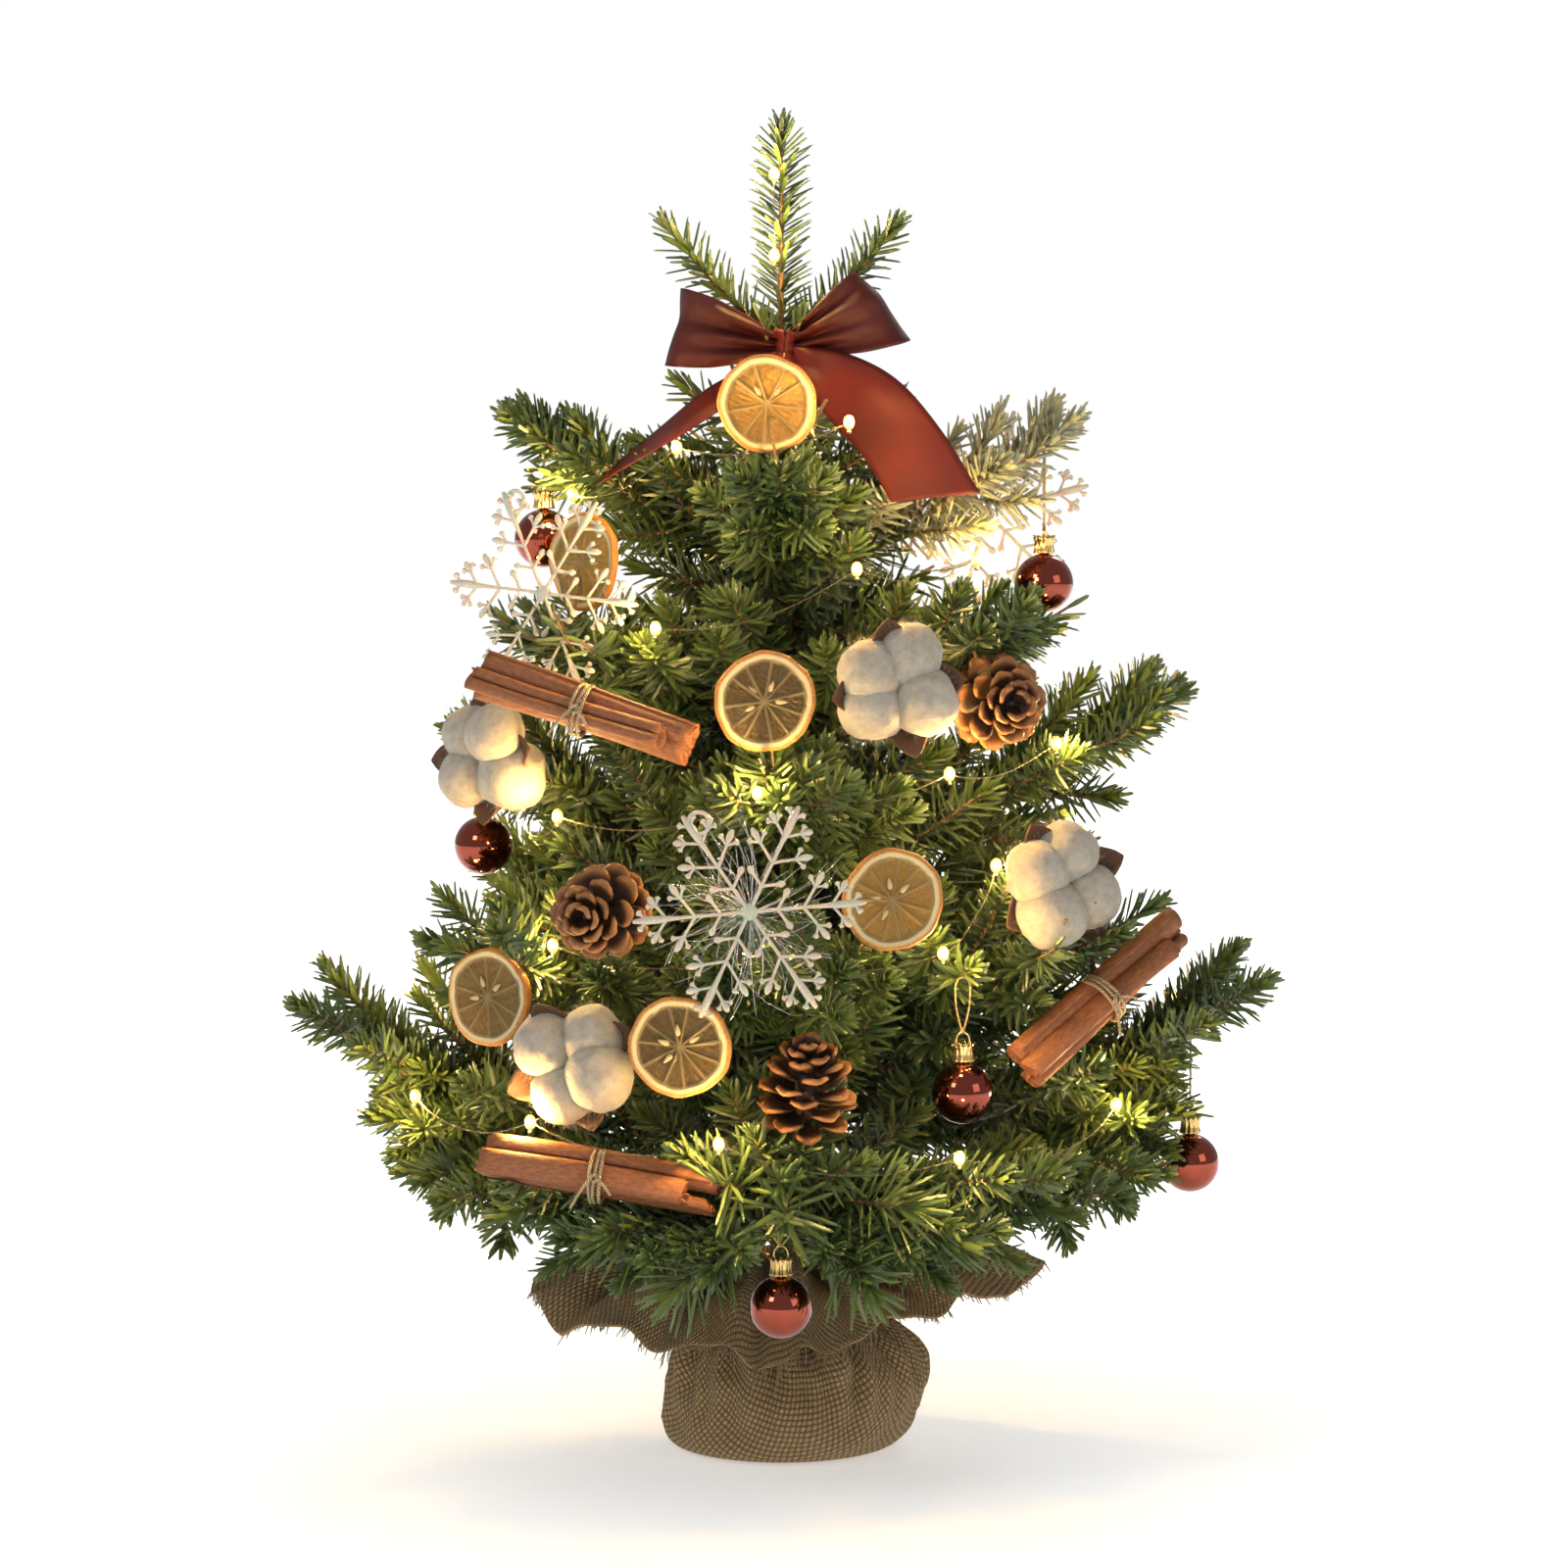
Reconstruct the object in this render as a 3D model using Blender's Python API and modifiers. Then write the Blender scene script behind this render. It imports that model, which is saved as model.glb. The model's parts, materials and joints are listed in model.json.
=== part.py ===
# Artificial tabletop tree in a burlap-wrapped weight, with its ornaments and light string.
# Metres, Z up, the pole on the Z axis, the front towards -Y.
import math

import bmesh
import bpy
from mathutils import Matrix, Vector

# Driving sizes
tree_height = 0.600
gap = 0.0004              # air left between neighbouring pieces
pole_radius = 0.005
pole_foot = 0.0062        # where the pole stands inside the weight
pole_top = 0.470
wrap_radius = 0.0062      # tape wound over the branch roots
wire_radius = 0.0012      # branch wire
needle_radius = 0.0095    # packed part of the needles around a shoot
bag_radius = 0.0575
bag_height = 0.072
cloth = 0.0015
weight_radius = 0.043
weight_height = 0.046
ball_radius = 0.0132
thread_radius = 0.0005
thread_width = 0.0034     # half the opening of a thread loop
slice_radius = 0.0215
slice_thickness = 0.004
stick_radius = 0.0052
stick_length = 0.098
cone_radius = 0.0205
cone_length = 0.040
boll_radius = 0.0165      # one lobe of a cotton boll
flake_radius = 0.049
ribbon_width = 0.036
light_wire = 0.0006
bead_radius = 0.0019
box_size = (0.034, 0.019, 0.0495)
box_wall = 0.0016
box_height = 0.0955       # foot of the battery box above the floor

# Branches: azimuth, height of the root, reach, rise at the tip, spread of the side shoots
branches = {
    "branch_5_right": (3, 0.400, 0.128, 0.058, 0.8),
    "branch_5_left": (178, 0.400, 0.120, 0.066, 0.8),
    "branch_5_front": (270, 0.395, 0.092, 0.046, 0.9),
    "branch_4_front_right": (325, 0.332, 0.137, 0.042, 0.9),
    "branch_4_front_left": (215, 0.332, 0.137, 0.038, 0.9),
    "branch_4_back": (90, 0.345, 0.120, 0.055, 1.2),
    "branch_3_right": (1, 0.262, 0.180, 0.078, 0.9),
    "branch_3_left": (180, 0.262, 0.148, 0.062, 0.9),
    "branch_3_front": (270, 0.262, 0.145, 0.042, 1.0),
    "branch_3_back": (90, 0.275, 0.145, 0.055, 1.1),
    "branch_2_front": (270, 0.190, 0.168, 0.046, 0.65),
    "branch_2_front_right": (322, 0.190, 0.184, 0.054, 0.7),
    "branch_2_front_left": (218, 0.190, 0.180, 0.048, 0.7),
    "branch_2_back_left": (140, 0.200, 0.165, 0.060, 0.9),
    "branch_2_back_right": (40, 0.200, 0.172, 0.060, 0.9),
    "branch_1_right": (357, 0.118, 0.218, 0.094, 1.1),
    "branch_1_left": (183, 0.118, 0.216, 0.082, 1.1),
    "branch_1_front": (270, 0.112, 0.182, 0.036, 1.15),
    "branch_1_back": (90, 0.150, 0.186, 0.030, 1.1),
}
# Side shoots of every branch: start along it, angle away from it, length as a share of the reach
side_shoots = ((0.34, 50, 0.50), (0.62, 42, 0.34))

# Hanging balls: branch, shoot (0 is the main one), side, share along it, drop to the centre
balls = {
    "ball_1": ("branch_5_left", 0, 0, 0.88, 0.046),
    "ball_2": ("branch_5_right", 0, 0, 0.92, 0.062),
    "ball_3": ("branch_3_left", 0, 0, 0.90, 0.044),
    "ball_4": ("branch_2_front_right", 1, -1, 0.90, 0.046),
    "ball_5": ("branch_1_right", 0, 0, 0.84, 0.064),
    "ball_6": ("branch_1_front", 0, 0, 0.90, 0.052),
}
# Fixed ornaments: azimuth, radius and height of the centre, azimuth faced, tilt in the face;
# a cone has the lean of its tip instead
slices = {
    "orange_slice_top": (265, 0.068, 0.470, 268, 0),
    "orange_slice_upper_left": (208, 0.098, 0.401, 225, 0),
    "orange_slice_middle": (267, 0.130, 0.344, 270, 0),
    "orange_slice_right": (287, 0.160, 0.262, 275, 0),
    "orange_slice_left": (221, 0.166, 0.216, 235, 0),
    "orange_slice_low": (256, 0.174, 0.202, 262, 0),
}
bundles = {
    "cinnamon_upper": (235, 0.146, 0.340, 255, -17),
    "cinnamon_lower": (244, 0.174, 0.146, 262, -8),
    "cinnamon_right": (326, 0.166, 0.214, 300, 35),
}
bolls = {
    "cotton_middle": (292, 0.130, 0.350, 285, 10),
    "cotton_left": (204, 0.140, 0.315, 230, 0),
    "cotton_right": (319, 0.158, 0.264, 290, 30),
    "cotton_low": (238, 0.166, 0.192, 255, 20),
}
cones = {
    "pinecone_right": (316, 0.130, 0.342, 290, 0),
    "pinecone_left": (243, 0.168, 0.256, 250, 0),
    "pinecone_low": (274, 0.158, 0.183, 272, 70),
}
flakes = {
    "snowflake_front": (266, 0.186, 0.260, 268, 10),
    "snowflake_left": (215, 0.126, 0.388, 240, 0),
    "snowflake_right": (33, 0.113, 0.421, 270, 20),
}
# The branch that each fixed ornament is wired to
held_by = {
    "orange_slice_top": "branch_5_front", "orange_slice_upper_left": "branch_4_front_left",
    "orange_slice_middle": "branch_3_front", "orange_slice_right": "branch_2_front",
    "orange_slice_left": "branch_2_front_left", "orange_slice_low": "branch_2_front",
    "cinnamon_upper": "branch_3_front", "cinnamon_lower": "branch_1_front",
    "cinnamon_right": "branch_2_front_right", "cotton_middle": "branch_4_front_right",
    "cotton_left": "branch_3_left", "cotton_right": "branch_2_front_right",
    "cotton_low": "branch_2_front_left", "pinecone_right": "branch_4_front_right",
    "pinecone_left": "branch_2_front_left", "pinecone_low": "branch_1_front",
    "snowflake_front": "branch_2_front", "snowflake_left": "branch_4_front_left",
    "snowflake_right": "branch_5_right",
}
# Where the light string is laid, from the top down: azimuth, radius, height of each lamp
string_lamps = (
    (256, 0.0125, 0.572), (256, 0.0125, 0.536), (270, 0.0062, 0.478), (289, 0.090, 0.462),
    (240, 0.090, 0.451), (190, 0.094, 0.430), (120, 0.080, 0.420), (60, 0.045, 0.412),
    (335, 0.095, 0.402), (289, 0.100, 0.399), (243, 0.118, 0.374), (185, 0.112, 0.366),
    (135, 0.110, 0.356), (70, 0.115, 0.346), (25, 0.120, 0.336), (333, 0.135, 0.322),
    (303, 0.132, 0.312), (266, 0.142, 0.306), (222, 0.130, 0.292), (165, 0.130, 0.290),
    (115, 0.130, 0.284), (60, 0.135, 0.280), (12, 0.140, 0.276), (312, 0.138, 0.272),
    (296, 0.156, 0.238), (264, 0.146, 0.240), (228, 0.146, 0.238), (190, 0.150, 0.230),
    (140, 0.150, 0.222), (95, 0.140, 0.210), (30, 0.150, 0.200), (330, 0.168, 0.166),
    (293, 0.190, 0.156), (262, 0.185, 0.163), (234, 0.180, 0.167), (204, 0.175, 0.168),
    (160, 0.150, 0.150), (110, 0.100, 0.128), (80, 0.050, 0.150),
)

hinge_radius = wrap_radius + gap + wire_radius
colors = {
    "branch": (0.05, 0.15, 0.05), "ball": (0.35, 0.06, 0.03), "hanger": (0.8, 0.6, 0.2),
    "orange": (0.8, 0.4, 0.08), "cinnamon": (0.42, 0.18, 0.07), "cotton": (0.9, 0.88, 0.84),
    "pinecone": (0.25, 0.11, 0.05), "snowflake": (0.85, 0.9, 0.92), "burlap": (0.36, 0.26, 0.15),
    "neck": (0.5, 0.38, 0.2), "base": (0.6, 0.6, 0.58), "pole": (0.12, 0.09, 0.05),
    "top": (0.06, 0.18, 0.06), "bow": (0.4, 0.06, 0.03), "light": (0.9, 0.7, 0.3),
    "battery": (0.02, 0.02, 0.02), "power": (0.3, 0.3, 0.3),
}


def clear_scene():
    for obj in list(bpy.data.objects):
        bpy.data.objects.remove(obj)


def radial(azimuth):
    """The level direction that points to an azimuth in degrees."""
    a = math.radians(azimuth)
    return Vector((math.cos(a), math.sin(a), 0))


def place(azimuth, radius, height):
    return radial(azimuth) * radius + Vector((0, 0, height))


def facing(azimuth, tilt):
    """A turn that stands a flat piece up, its front to the azimuth, then tilts it in its face."""
    turn = Matrix.Rotation(math.radians(azimuth + 90), 4, "Z")
    return turn @ Matrix.Rotation(math.radians(-tilt), 4, "Y")


# Solids

def baked(data):
    """The finished mesh of a curve, or of an object with its modifiers."""
    obj = data if isinstance(data, bpy.types.Object) else bpy.data.objects.new("raw", data)
    bpy.context.scene.collection.objects.link(obj)
    graph = bpy.context.evaluated_depsgraph_get()
    mesh = bpy.data.meshes.new_from_object(obj.evaluated_get(graph))
    bpy.data.objects.remove(obj)
    bm = bmesh.new()
    bm.from_mesh(mesh)
    bmesh.ops.remove_doubles(bm, verts=bm.verts, dist=2e-6)
    bmesh.ops.recalc_face_normals(bm, faces=bm.faces)
    bm.to_mesh(mesh)
    bm.free()
    return mesh


def from_bmesh(bm, matrix=None):
    if matrix is not None:
        bmesh.ops.transform(bm, matrix=matrix, verts=bm.verts)
    bmesh.ops.recalc_face_normals(bm, faces=bm.faces)
    mesh = bpy.data.meshes.new("solid")
    bm.to_mesh(mesh)
    bm.free()
    return mesh


def tube(points, radii, sides=6, closed=False):
    """A round rod along the points, capped unless it closes on itself."""
    curve = bpy.data.curves.new("path", "CURVE")
    curve.dimensions = "3D"
    curve.bevel_depth = 1.0
    curve.bevel_resolution = (sides - 4) // 2
    curve.use_fill_caps = not closed
    spline = curve.splines.new("POLY")
    spline.points.add(len(points) - 1)
    spline.use_cyclic_u = closed
    for knot, point, radius in zip(spline.points, points, radii):
        knot.co = (*point, 1)
        knot.radius = radius
    return baked(curve)


def lathe(profile, steps, matrix=None):
    """The solid swept by a profile of (radius, height) points around Z."""
    bm = bmesh.new()
    verts = [bm.verts.new((r, 0, z)) for r, z in profile]
    edges = [bm.edges.new(pair) for pair in zip(verts, verts[1:])]
    if profile[0][0] > 0:
        edges.append(bm.edges.new((verts[-1], verts[0])))
    bmesh.ops.spin(bm, geom=verts + edges, axis=(0, 0, 1), cent=(0, 0, 0),
                   angle=math.tau, steps=steps)
    bmesh.ops.remove_doubles(bm, verts=bm.verts, dist=1e-6)
    return from_bmesh(bm, matrix)


def sphere(center, radii, segments=10, rings=6):
    bm = bmesh.new()
    bmesh.ops.create_uvsphere(bm, u_segments=segments, v_segments=rings, radius=1)
    return from_bmesh(bm, Matrix.Translation(center) @ Matrix.Diagonal((*radii, 1)))


def block(size, matrix):
    bm = bmesh.new()
    bmesh.ops.create_cube(bm, size=1)
    return from_bmesh(bm, matrix @ Matrix.Diagonal((*size, 1)))


def disc(radius, thickness, matrix, steps=20):
    """A flat round plate whose axis is the local Y."""
    turn = matrix @ Matrix.Rotation(math.radians(90), 4, "X")
    half = thickness / 2
    return lathe(((0, -half), (radius, -half), (radius, half), (0, half)), steps, turn)


def combine(base, tools, operation):
    """The base mesh with every tool added or taken away."""
    obj = bpy.data.objects.new("base", base)
    extras = []
    for tool in tools:
        extra = bpy.data.objects.new("tool", tool)
        bpy.context.scene.collection.objects.link(extra)
        step = obj.modifiers.new("step", "BOOLEAN")
        step.operation, step.solver, step.object = operation, "EXACT", extra
        extras.append(extra)
    mesh = baked(obj)
    for extra in extras:
        bpy.data.objects.remove(extra)
    return mesh


def main_body(mesh):
    """Drops the loose scraps that a cut leaves and keeps the largest piece."""
    bm = bmesh.new()
    bm.from_mesh(mesh)
    islands, left = [], set(bm.verts)
    while left:
        island, front = set(), [next(iter(left))]
        while front:
            vert = front.pop()
            if vert in island:
                continue
            island.add(vert)
            front.extend(edge.other_vert(vert) for edge in vert.link_edges)
        islands.append(island)
        left -= island
    keep = max(islands, key=len)
    bmesh.ops.delete(bm, geom=[v for v in bm.verts if v not in keep], context="VERTS")
    bm.to_mesh(mesh)
    bm.free()
    return mesh


def bounds(mesh):
    corners = [v.co for v in mesh.vertices]
    return [(min(c[i] for c in corners), max(c[i] for c in corners)) for i in range(3)]


def near(first, second):
    pairs = zip(bounds(first), bounds(second))
    return all(a[0] < b[1] and b[0] < a[1] for a, b in pairs)


def finish(name, mesh, collection, origin=None):
    """Puts a solid in the scene as a named piece with its own material."""
    origin = Vector(origin) if origin is not None else Vector((0, 0, 0))
    mesh.transform(Matrix.Translation(-origin))
    mesh.name = name
    material = bpy.data.materials.new(name)
    material.use_nodes = True
    shader = material.node_tree.nodes["Principled BSDF"]
    kind = next(key for key in colors if name.startswith(key) or "_" + key in name)
    shader.inputs["Base Color"].default_value = (*colors[kind], 1)
    mesh.materials.clear()
    mesh.materials.append(material)
    obj = bpy.data.objects.new(name, mesh)
    obj.location = origin
    collection.objects.link(obj)


# Pole, weight and cloth

def pole():
    """A straight rod with a wound band at each height where branches start."""
    heights = sorted({spec[1] for spec in branches.values()})
    tiers = [h for i, h in enumerate(heights) if i == 0 or h - heights[i - 1] > 0.02]
    profile = [(0, pole_foot), (pole_radius, pole_foot)]
    for height in tiers:
        band = 0.010
        profile += [(pole_radius, height - band), (wrap_radius, height - band + 0.001),
                    (wrap_radius, height + band - 0.001), (pole_radius, height + band)]
    profile += [(pole_radius, pole_top), (0, pole_top)]
    return lathe(profile, 12)


def weight():
    """A cast disc with a blind hole for the pole."""
    hole = pole_radius + gap
    foot = cloth + gap
    top = foot + weight_height
    profile = ((0, foot), (weight_radius - 0.003, foot), (weight_radius, foot + 0.003),
               (weight_radius, top - 0.004), (weight_radius - 0.004, top),
               (hole, top), (hole, pole_foot - gap), (0, pole_foot - gap))
    return lathe(profile, 24)


def cloth_point(step, angle):
    """A point of the cloth: across the floor, up the bag, in at the neck, out to the corners."""
    corner = abs(math.cos(2 * angle)) ** 1.5
    out = 0.055 + (0.062 if math.cos(angle) > 0.7 else 0.048) * corner
    neck = 0.0128
    wave = 0.004 * math.cos(5 * angle + 0.6)
    rows = ((0.022, 0), (0.78 * bag_radius, 0), (0.96 * bag_radius, 0.006),
            (bag_radius, 0.026), (0.92 * bag_radius, 0.046), (0.62 * bag_radius, 0.061),
            (neck + 0.006, bag_height - 0.004), (neck, bag_height), (neck, bag_height + 0.006),
            (neck + 0.014, bag_height + 0.011), (0.55 * out, bag_height + 0.013 + wave),
            (0.8 * out, bag_height + 0.010 + 1.4 * wave), (out, bag_height + 0.003 + 2 * wave))
    radius, height = rows[step]
    shift = 0.008 * math.sin(math.pi * min(1, height / bag_height)) if step < 7 else 0
    lump = 1 + (0.03 * math.cos(3 * angle + 1) if 1 < step < 6 else 0)
    return Vector((radius * lump * math.cos(angle) + shift, radius * lump * math.sin(angle), height))


def burlap():
    """One square of cloth gathered round the weight, tied at the neck and flared above it."""
    steps, rows = 28, 13
    bm = bmesh.new()
    center = bm.verts.new((0, 0, 0))
    rings = [[bm.verts.new(cloth_point(row, math.tau * i / steps)) for i in range(steps)]
             for row in range(rows)]
    for i in range(steps):
        j = (i + 1) % steps
        bm.faces.new((center, rings[0][j], rings[0][i]))
        for low, high in zip(rings, rings[1:]):
            bm.faces.new((low[i], low[j], high[j], high[i]))
    obj = bpy.data.objects.new("cloth", from_bmesh(bm))
    shell = obj.modifiers.new("thickness", "SOLIDIFY")
    shell.thickness = cloth
    shell.offset = 1
    return baked(obj)


def neck_tie():
    radius = 0.0128 + 0.003
    height = bag_height + 0.003
    ring = [place(30 * i, radius, height) for i in range(12)]
    hoop = tube(ring, [0.0015] * 12, 6, closed=True)
    knot = sphere(place(285, radius + 0.001, height), (0.003, 0.0028, 0.003), 8, 5)
    return combine(hoop, [knot], "UNION")


# Branches

def branch_line(name, along):
    """The point a share of the way from a branch's root to its tip."""
    azimuth, height, reach, rise, _ = branches[name]
    radius = hinge_radius + (reach - hinge_radius) * along
    return place(azimuth, radius, height + rise * (0.75 * along + 0.25 * along * along))


def shoot_solid(points):
    """Needles round a shoot, packed as one tapering body."""
    shares = (0.6, 1.0, 0.97, 0.78, 0.38)
    steps = len(shares) - 1
    line = [points(i / steps) for i in range(steps + 1)]
    return tube(line, [needle_radius * share for share in shares], 6)


def side_line(name, start, angle, length, side):
    azimuth, _, reach, rise, spread = branches[name]
    root = branch_line(name, start)
    ahead = radial(azimuth + side * angle * spread)
    climb = Vector((0, 0, 0.7 * rise / reach))
    return lambda along: root + (ahead + climb) * (length * reach * along)


def branch_lines(name):
    """The main shoot and the four side shoots of a branch."""
    sides = [side_line(name, *shoot, side) for shoot in side_shoots for side in (-1, 1)]
    return [lambda t: branch_line(name, 0.2 + 0.8 * t)] + sides


def twig_solid(name, center):
    """A short twig from the nearest shoot of a branch to an ornament wired to it."""
    spots = [line(0.1 * i) for line in branch_lines(name) for i in range(9)]
    root = min(spots, key=lambda spot: (spot - center).length)
    line = [root.lerp(center, t) for t in (0, 0.35, 0.7, 1)]
    return tube(line, [0.003, 0.0055, 0.0055, 0.004], 6)


def branch_solid(name, hung, pockets):
    """Wire and needles of one branch, cleared for what hangs on it or lies in it."""
    main, *sides = [shoot_solid(line) for line in branch_lines(name)]
    held = {**slices, **bundles, **bolls, **cones, **flakes}
    twigs = [twig_solid(name, place(*spec[:3])) for key, spec in held.items()
             if held_by[key] == name]
    needles = combine(main, sides + twigs, "UNION")
    needles = combine(needles, [thread_groove(b) for b in hung], "DIFFERENCE")
    lines = [lambda t: branch_line(name, t)] + [hang_line(b) for b in hung if balls[b][1]]
    wires = [tube([line(t) for t in (0, 0.1, 0.3, 0.6, 0.97)], [wire_radius] * 5, 6)
             for line in lines]
    whole = combine(needles, wires, "UNION")
    whole = combine(whole, [p for p in pockets if near(p, whole)], "DIFFERENCE")
    return main_body(whole)


def top_sprig():
    """The leader and its two side tips, pushed onto the end of the pole."""
    foot = pole_top + gap
    stem = tube([Vector((0, 0, foot)), Vector((0, 0, 0.53))], [0.0025] * 2, 6)
    leader = tube([Vector((0, 0, z)) for z in (0.508, 0.52, 0.56, 0.588, tree_height)],
                  [0.006, 0.009, 0.009, 0.007, 0.003], 6)
    tips = []
    for side in (-1, 1):
        line = [Vector((side * 0.052 * t, 0, 0.503 + 0.047 * t)) for t in (0, 0.3, 0.7, 1)]
        tips.append(tube(line, [0.004, 0.0075, 0.0075, 0.0035], 6))
    return combine(stem, [leader, *tips], "UNION")


# Ornaments

def hang_line(name):
    """The wire that a ball hangs from, as a path by share along it."""
    branch, shoot, side = balls[name][:3]
    if shoot == 0:
        return lambda along: branch_line(branch, along)
    return side_line(branch, *side_shoots[shoot - 1], side)


def hang_point(name):
    return hang_line(name)(balls[name][3])


def hang_matrix(name):
    """The frame of a hanging ball: X along its shoot, Z up, at the hanging point."""
    line = hang_line(name)
    ahead = line(1) - line(0)
    turn = Matrix.Rotation(math.atan2(ahead.y, ahead.x), 4, "Z")
    return Matrix.Translation(hang_point(name)) @ turn


def ball(name):
    center = hang_point(name) - Vector((0, 0, balls[name][4]))
    return sphere(center, (ball_radius,) * 3, 12, 8)


def hanger(name):
    """Crown cap, ring and thread loop; the loop goes over the branch wire."""
    drop = balls[name][4]
    foot = ball_radius + gap - drop
    cap = lathe(((0, foot), (0.0045, foot), (0.0042, foot + 0.0065), (0, foot + 0.0065)), 10)
    middle = foot + 0.0085
    ring = tube([Vector((0, 0.0024 * math.cos(a), middle + 0.003 * math.sin(a)))
                 for a in (math.tau * i / 8 for i in range(8))], [0.0006] * 8, 4, closed=True)
    top, low, w = thread_width, foot + 0.0115, thread_width
    loop = [(0, low), (0.6 * w, low + 0.006), (w, 0.4 * low), (w, 0.3 * top), (0.6 * w, 0.85 * top),
            (0, top), (-0.6 * w, 0.85 * top), (-w, 0.3 * top), (-w, 0.4 * low),
            (-0.6 * w, low + 0.006)]
    thread = tube([Vector((0, y, z)) for y, z in loop], [thread_radius] * len(loop), 4, closed=True)
    mesh = combine(cap, [ring, thread], "UNION")
    mesh.transform(hang_matrix(name))
    return mesh


def thread_groove(name):
    """The slot between the needles that a hanging thread swings in."""
    matrix = hang_matrix(name) @ Matrix.Rotation(math.radians(90), 4, "Z")
    return disc(balls[name][4] - ball_radius - 0.010, 0.003, matrix, 16)


def ball_pocket(name):
    """Air round a ball and its cap, as far as it swings to either side."""
    drop = balls[name][4]
    reach = ball_radius + 2 * gap
    swing = math.radians(16)
    arc = [Vector((0, math.sin(a), -math.cos(a))) for a in (-swing, 0, swing)]
    room = [sphere(p * drop, (reach,) * 3, 8, 6) for p in arc]
    caps = [tube([p * (drop - ball_radius), p * (drop - ball_radius - 0.012)],
                 [0.006] * 2, 6) for p in arc]
    whole = combine(room[0], room[1:] + caps, "UNION")
    whole.transform(hang_matrix(name))
    return whole


def slice_matrix(spec):
    azimuth, radius, height, face, tilt = spec
    return Matrix.Translation(place(azimuth, radius, height)) @ facing(face, tilt)


def orange_slice(spec):
    """A dried round of fruit: a raised rind ring and thinner flesh."""
    half = slice_thickness / 2
    thin = 0.6 * half
    profile = ((0, -thin), (0.82 * slice_radius, -thin), (0.9 * slice_radius, -half),
               (slice_radius, -0.5 * half), (slice_radius, 0.5 * half),
               (0.9 * slice_radius, half), (0.82 * slice_radius, thin), (0, thin))
    turn = slice_matrix(spec) @ Matrix.Rotation(math.radians(90), 4, "X")
    return lathe(profile, 18, turn)


def cinnamon(spec):
    """Three rolled sticks with open ends, held by a turn of twine."""
    matrix = slice_matrix(spec)
    lean = 0.98 * stick_radius
    spots = ((-lean, 0), (lean, 0), (0, -1.7 * lean))
    sticks = []
    for z, y in spots:
        length = stick_length / 2 * (1 if y == 0 else 0.9)
        bore = 0.45 * stick_radius
        profile = ((bore, -length), (stick_radius, -length), (stick_radius, length), (bore, length))
        turn = Matrix.Translation((0.004 * (z > 0), y, z)) @ Matrix.Rotation(math.radians(90), 4, "Y")
        sticks.append(lathe(profile, 10, turn))
    wind = 2.05 * stick_radius
    band = [Vector((0, -0.55 * lean + 0.95 * wind * math.cos(a), wind * math.sin(a)))
            for a in (math.tau * i / 12 for i in range(12))]
    twine = tube(band, [0.0009] * 12, 4, closed=True)
    mesh = combine(sticks[0], sticks[1:] + [twine], "UNION")
    mesh.transform(matrix)
    return mesh


def cotton(spec, grow=0.0):
    """Four soft lobes on a short stub; grow widens them all round."""
    matrix = slice_matrix(spec)
    out = 0.62 * boll_radius
    spots = [Vector((out * math.cos(a), 0, out * math.sin(a)))
             for a in (math.radians(45 + 90 * i) for i in range(4))]
    lobes = [sphere(spot, (boll_radius + grow,) * 3, 9, 6) for spot in spots]
    back = boll_radius + 0.004 + grow
    stub = tube([Vector((0, 0, 0)), Vector((0, back, 0))], [0.006 + grow, 0.004 + grow], 6)
    mesh = combine(lobes[0], lobes[1:] + [stub], "UNION")
    mesh.transform(matrix)
    return mesh


def cone_matrix(spec):
    azimuth, radius, height, face, lean = spec
    turn = facing(face, 0) @ Matrix.Rotation(math.radians(-lean), 4, "X")
    return Matrix.Translation(place(azimuth, radius, height)) @ turn


def pinecone(spec):
    """Rows of open scales round a core; the cone's tip is its front."""
    rows = 4
    step = cone_length / (rows + 0.6)
    profile = [(0, -cone_length / 2)]
    for row in range(rows):
        foot = -cone_length / 2 + step * (row + 0.15)
        edge = cone_radius * math.sin(math.radians(52 + 33 * row))
        profile += [(0.45 * edge, foot), (edge, foot + 0.75 * step), (0.92 * edge, foot + step)]
    profile += [(0.2 * cone_radius, cone_length / 2 - 0.3 * step), (0, cone_length / 2)]
    turn = cone_matrix(spec) @ Matrix.Rotation(math.radians(90), 4, "X")
    return lathe(profile, 12, turn)


def flake_outline():
    """One sixth of the star: an arm with two pairs of twigs, in its own frame."""
    r, w = flake_radius, 0.0013
    lean = math.radians(55)
    along = Vector((math.cos(lean), math.sin(lean)))
    across = Vector((-along.y, along.x))
    side = []
    for start, length in ((0.36, 0.30), (0.68, 0.22)):
        root = Vector((start * r, w))
        tip = root + along * (length * r)
        side += [root, tip + across * w, tip + along * w, tip - across * w,
                 root + Vector((2.4 * w, 0))]
    hub = 2.6 * w
    upper = [Vector((hub * math.cos(math.radians(30)), hub * math.sin(math.radians(30))))]
    upper += side + [Vector((0.97 * r, 1.3 * w)), Vector((r, 0))]
    return upper + [Vector((p.x, -p.y)) for p in reversed(side + [Vector((0.97 * r, 1.3 * w))])]


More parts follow.
